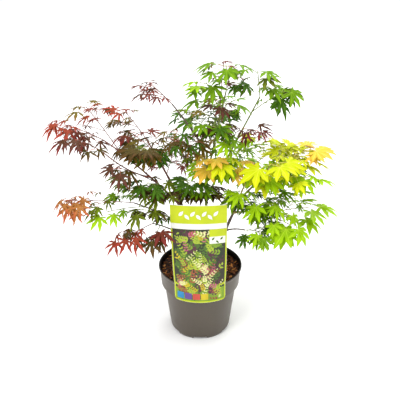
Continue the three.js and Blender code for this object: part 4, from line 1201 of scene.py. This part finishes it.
# Printed sprigs, back to front: print, how many, leaflet length
motifs = (("moss", 48, 11), ("plum", 26, 10), ("grass", 22, 9), ("rust", 16, 8), ("limeLeaf", 24, 8),
          ("pink", 10, 7), ("gold", 8, 7), ("creamLeaf", 15, 7))
sprig = {
    "seed": 8123, "across": (-56, 50), "height": (126, 300), "turn": (0.2, 2.9), "length": (18, 40),
    "leaflet": (0.8, 1.3), "pairs": 4, "firstPair": 0.6, "spread": 0.9, "leafTaper": (1.15, 0.65),
    "half": 51, "low": 132, "high": 304, "leafSteps": (0, 0.12, 0.25, 0.4, 0.55, 0.7, 0.85, 1),
    "leafPower": 0.8, "leafWidth": 0.24, "lift": 0.15, "layer": 0.03, "rowLift": 0.5, "stagger": 4,
}
draw = seeded(sprig["seed"])
for layer, (colour, count, leaflet) in enumerate(motifs):
    points, faces = [], []
    for i in range(count):
        across, height, turn, span, scale = (
            draw(*sprig[key]) for key in ("across", "height", "turn", "length", "leaflet"))
        lift = sprig["lift"] + sprig["layer"] * layer
        printedSprig(points, faces, across, height, span, turn, leaflet * scale, lift)
    keepPrinted(newObject(f"label_{colour}Sprigs", points, faces), colour)
# Rows of leaves: name, print, left end, step, how many, height, leaf length
for name, colour, left, step, count, height, length in (
        ("headerSprig", "white", -36, 12, 7, 342, 15), ("tabSprig", "moss", 30, 9, 3, 282, 9)):
    points, faces = [], []
    for k in range(count):
        hand = (-1) ** k
        above, lean = height + sprig["stagger"] * hand, hand * sprig["spread"]
        printedLeaf(points, faces, left + step * k, above, length, lean, sprig["rowLift"])
    keepPrinted(newObject(f"label_{name}", points, faces), colour)
print("label")

# Floor, light and camera, in metres
stage = {"floor": 9.0, "lens": 62.46, "sensor": 36, "camera": (-0.0005, -1.345, 1.031), "tilt": 62.4}
half = stage["floor"] / 2
floor = newObject("floor", [(-half, -half, 0), (half, -half, 0), (half, half, 0), (-half, half, 0)],
                  [(0, 1, 2, 3)])
finish, tree, surface = newFinish("paleFloor", 0.2, 0.9)
body = blend(tree, grains(tree, onObject(tree), 3, 3), (0.93, 0.93, 0.93, 1), (0.97, 0.97, 0.97, 1))
tree.links.new(body, surface["Base Color"])
floor.data.materials.append(finish)
# lamp: place, power, width
lamps = {
    "keyLight": ((-1.3, -1.7, 2.2), 32, 1.2), "fillLight": ((1.7, -1.3, 1.5), 6, 1.6),
    "topLight": ((0.2, 0.2, 2.6), 34, 1.6), "backLight": ((0.9, 1.8, 1.6), 18, 1.4),
}
lampsAimAt = Vector((0, 0, 0.35))
for name, (place, power, width) in lamps.items():
    lamp = show(name, bpy.data.lights.new(name, "AREA"))
    lamp.data.energy, lamp.data.size = power, width
    lamp.location = place
    lamp.rotation_euler = (lampsAimAt - lamp.location).to_track_quat("-Z", "Y").to_euler()
scene.view_settings.view_transform = "Standard"
world = bpy.data.worlds.new("studio")
scene.world = world
world.use_nodes = True
sky = world.node_tree.nodes["Background"].inputs
sky["Color"].default_value = (1, 1, 1, 1)
sky["Strength"].default_value = 1
view = show("camera", bpy.data.cameras.new("camera"))
view.data.lens, view.data.sensor_width = stage["lens"], stage["sensor"]
view.location = stage["camera"]
view.rotation_euler = (radians(stage["tilt"]), 0, 0)
scene.camera = view

print("done")
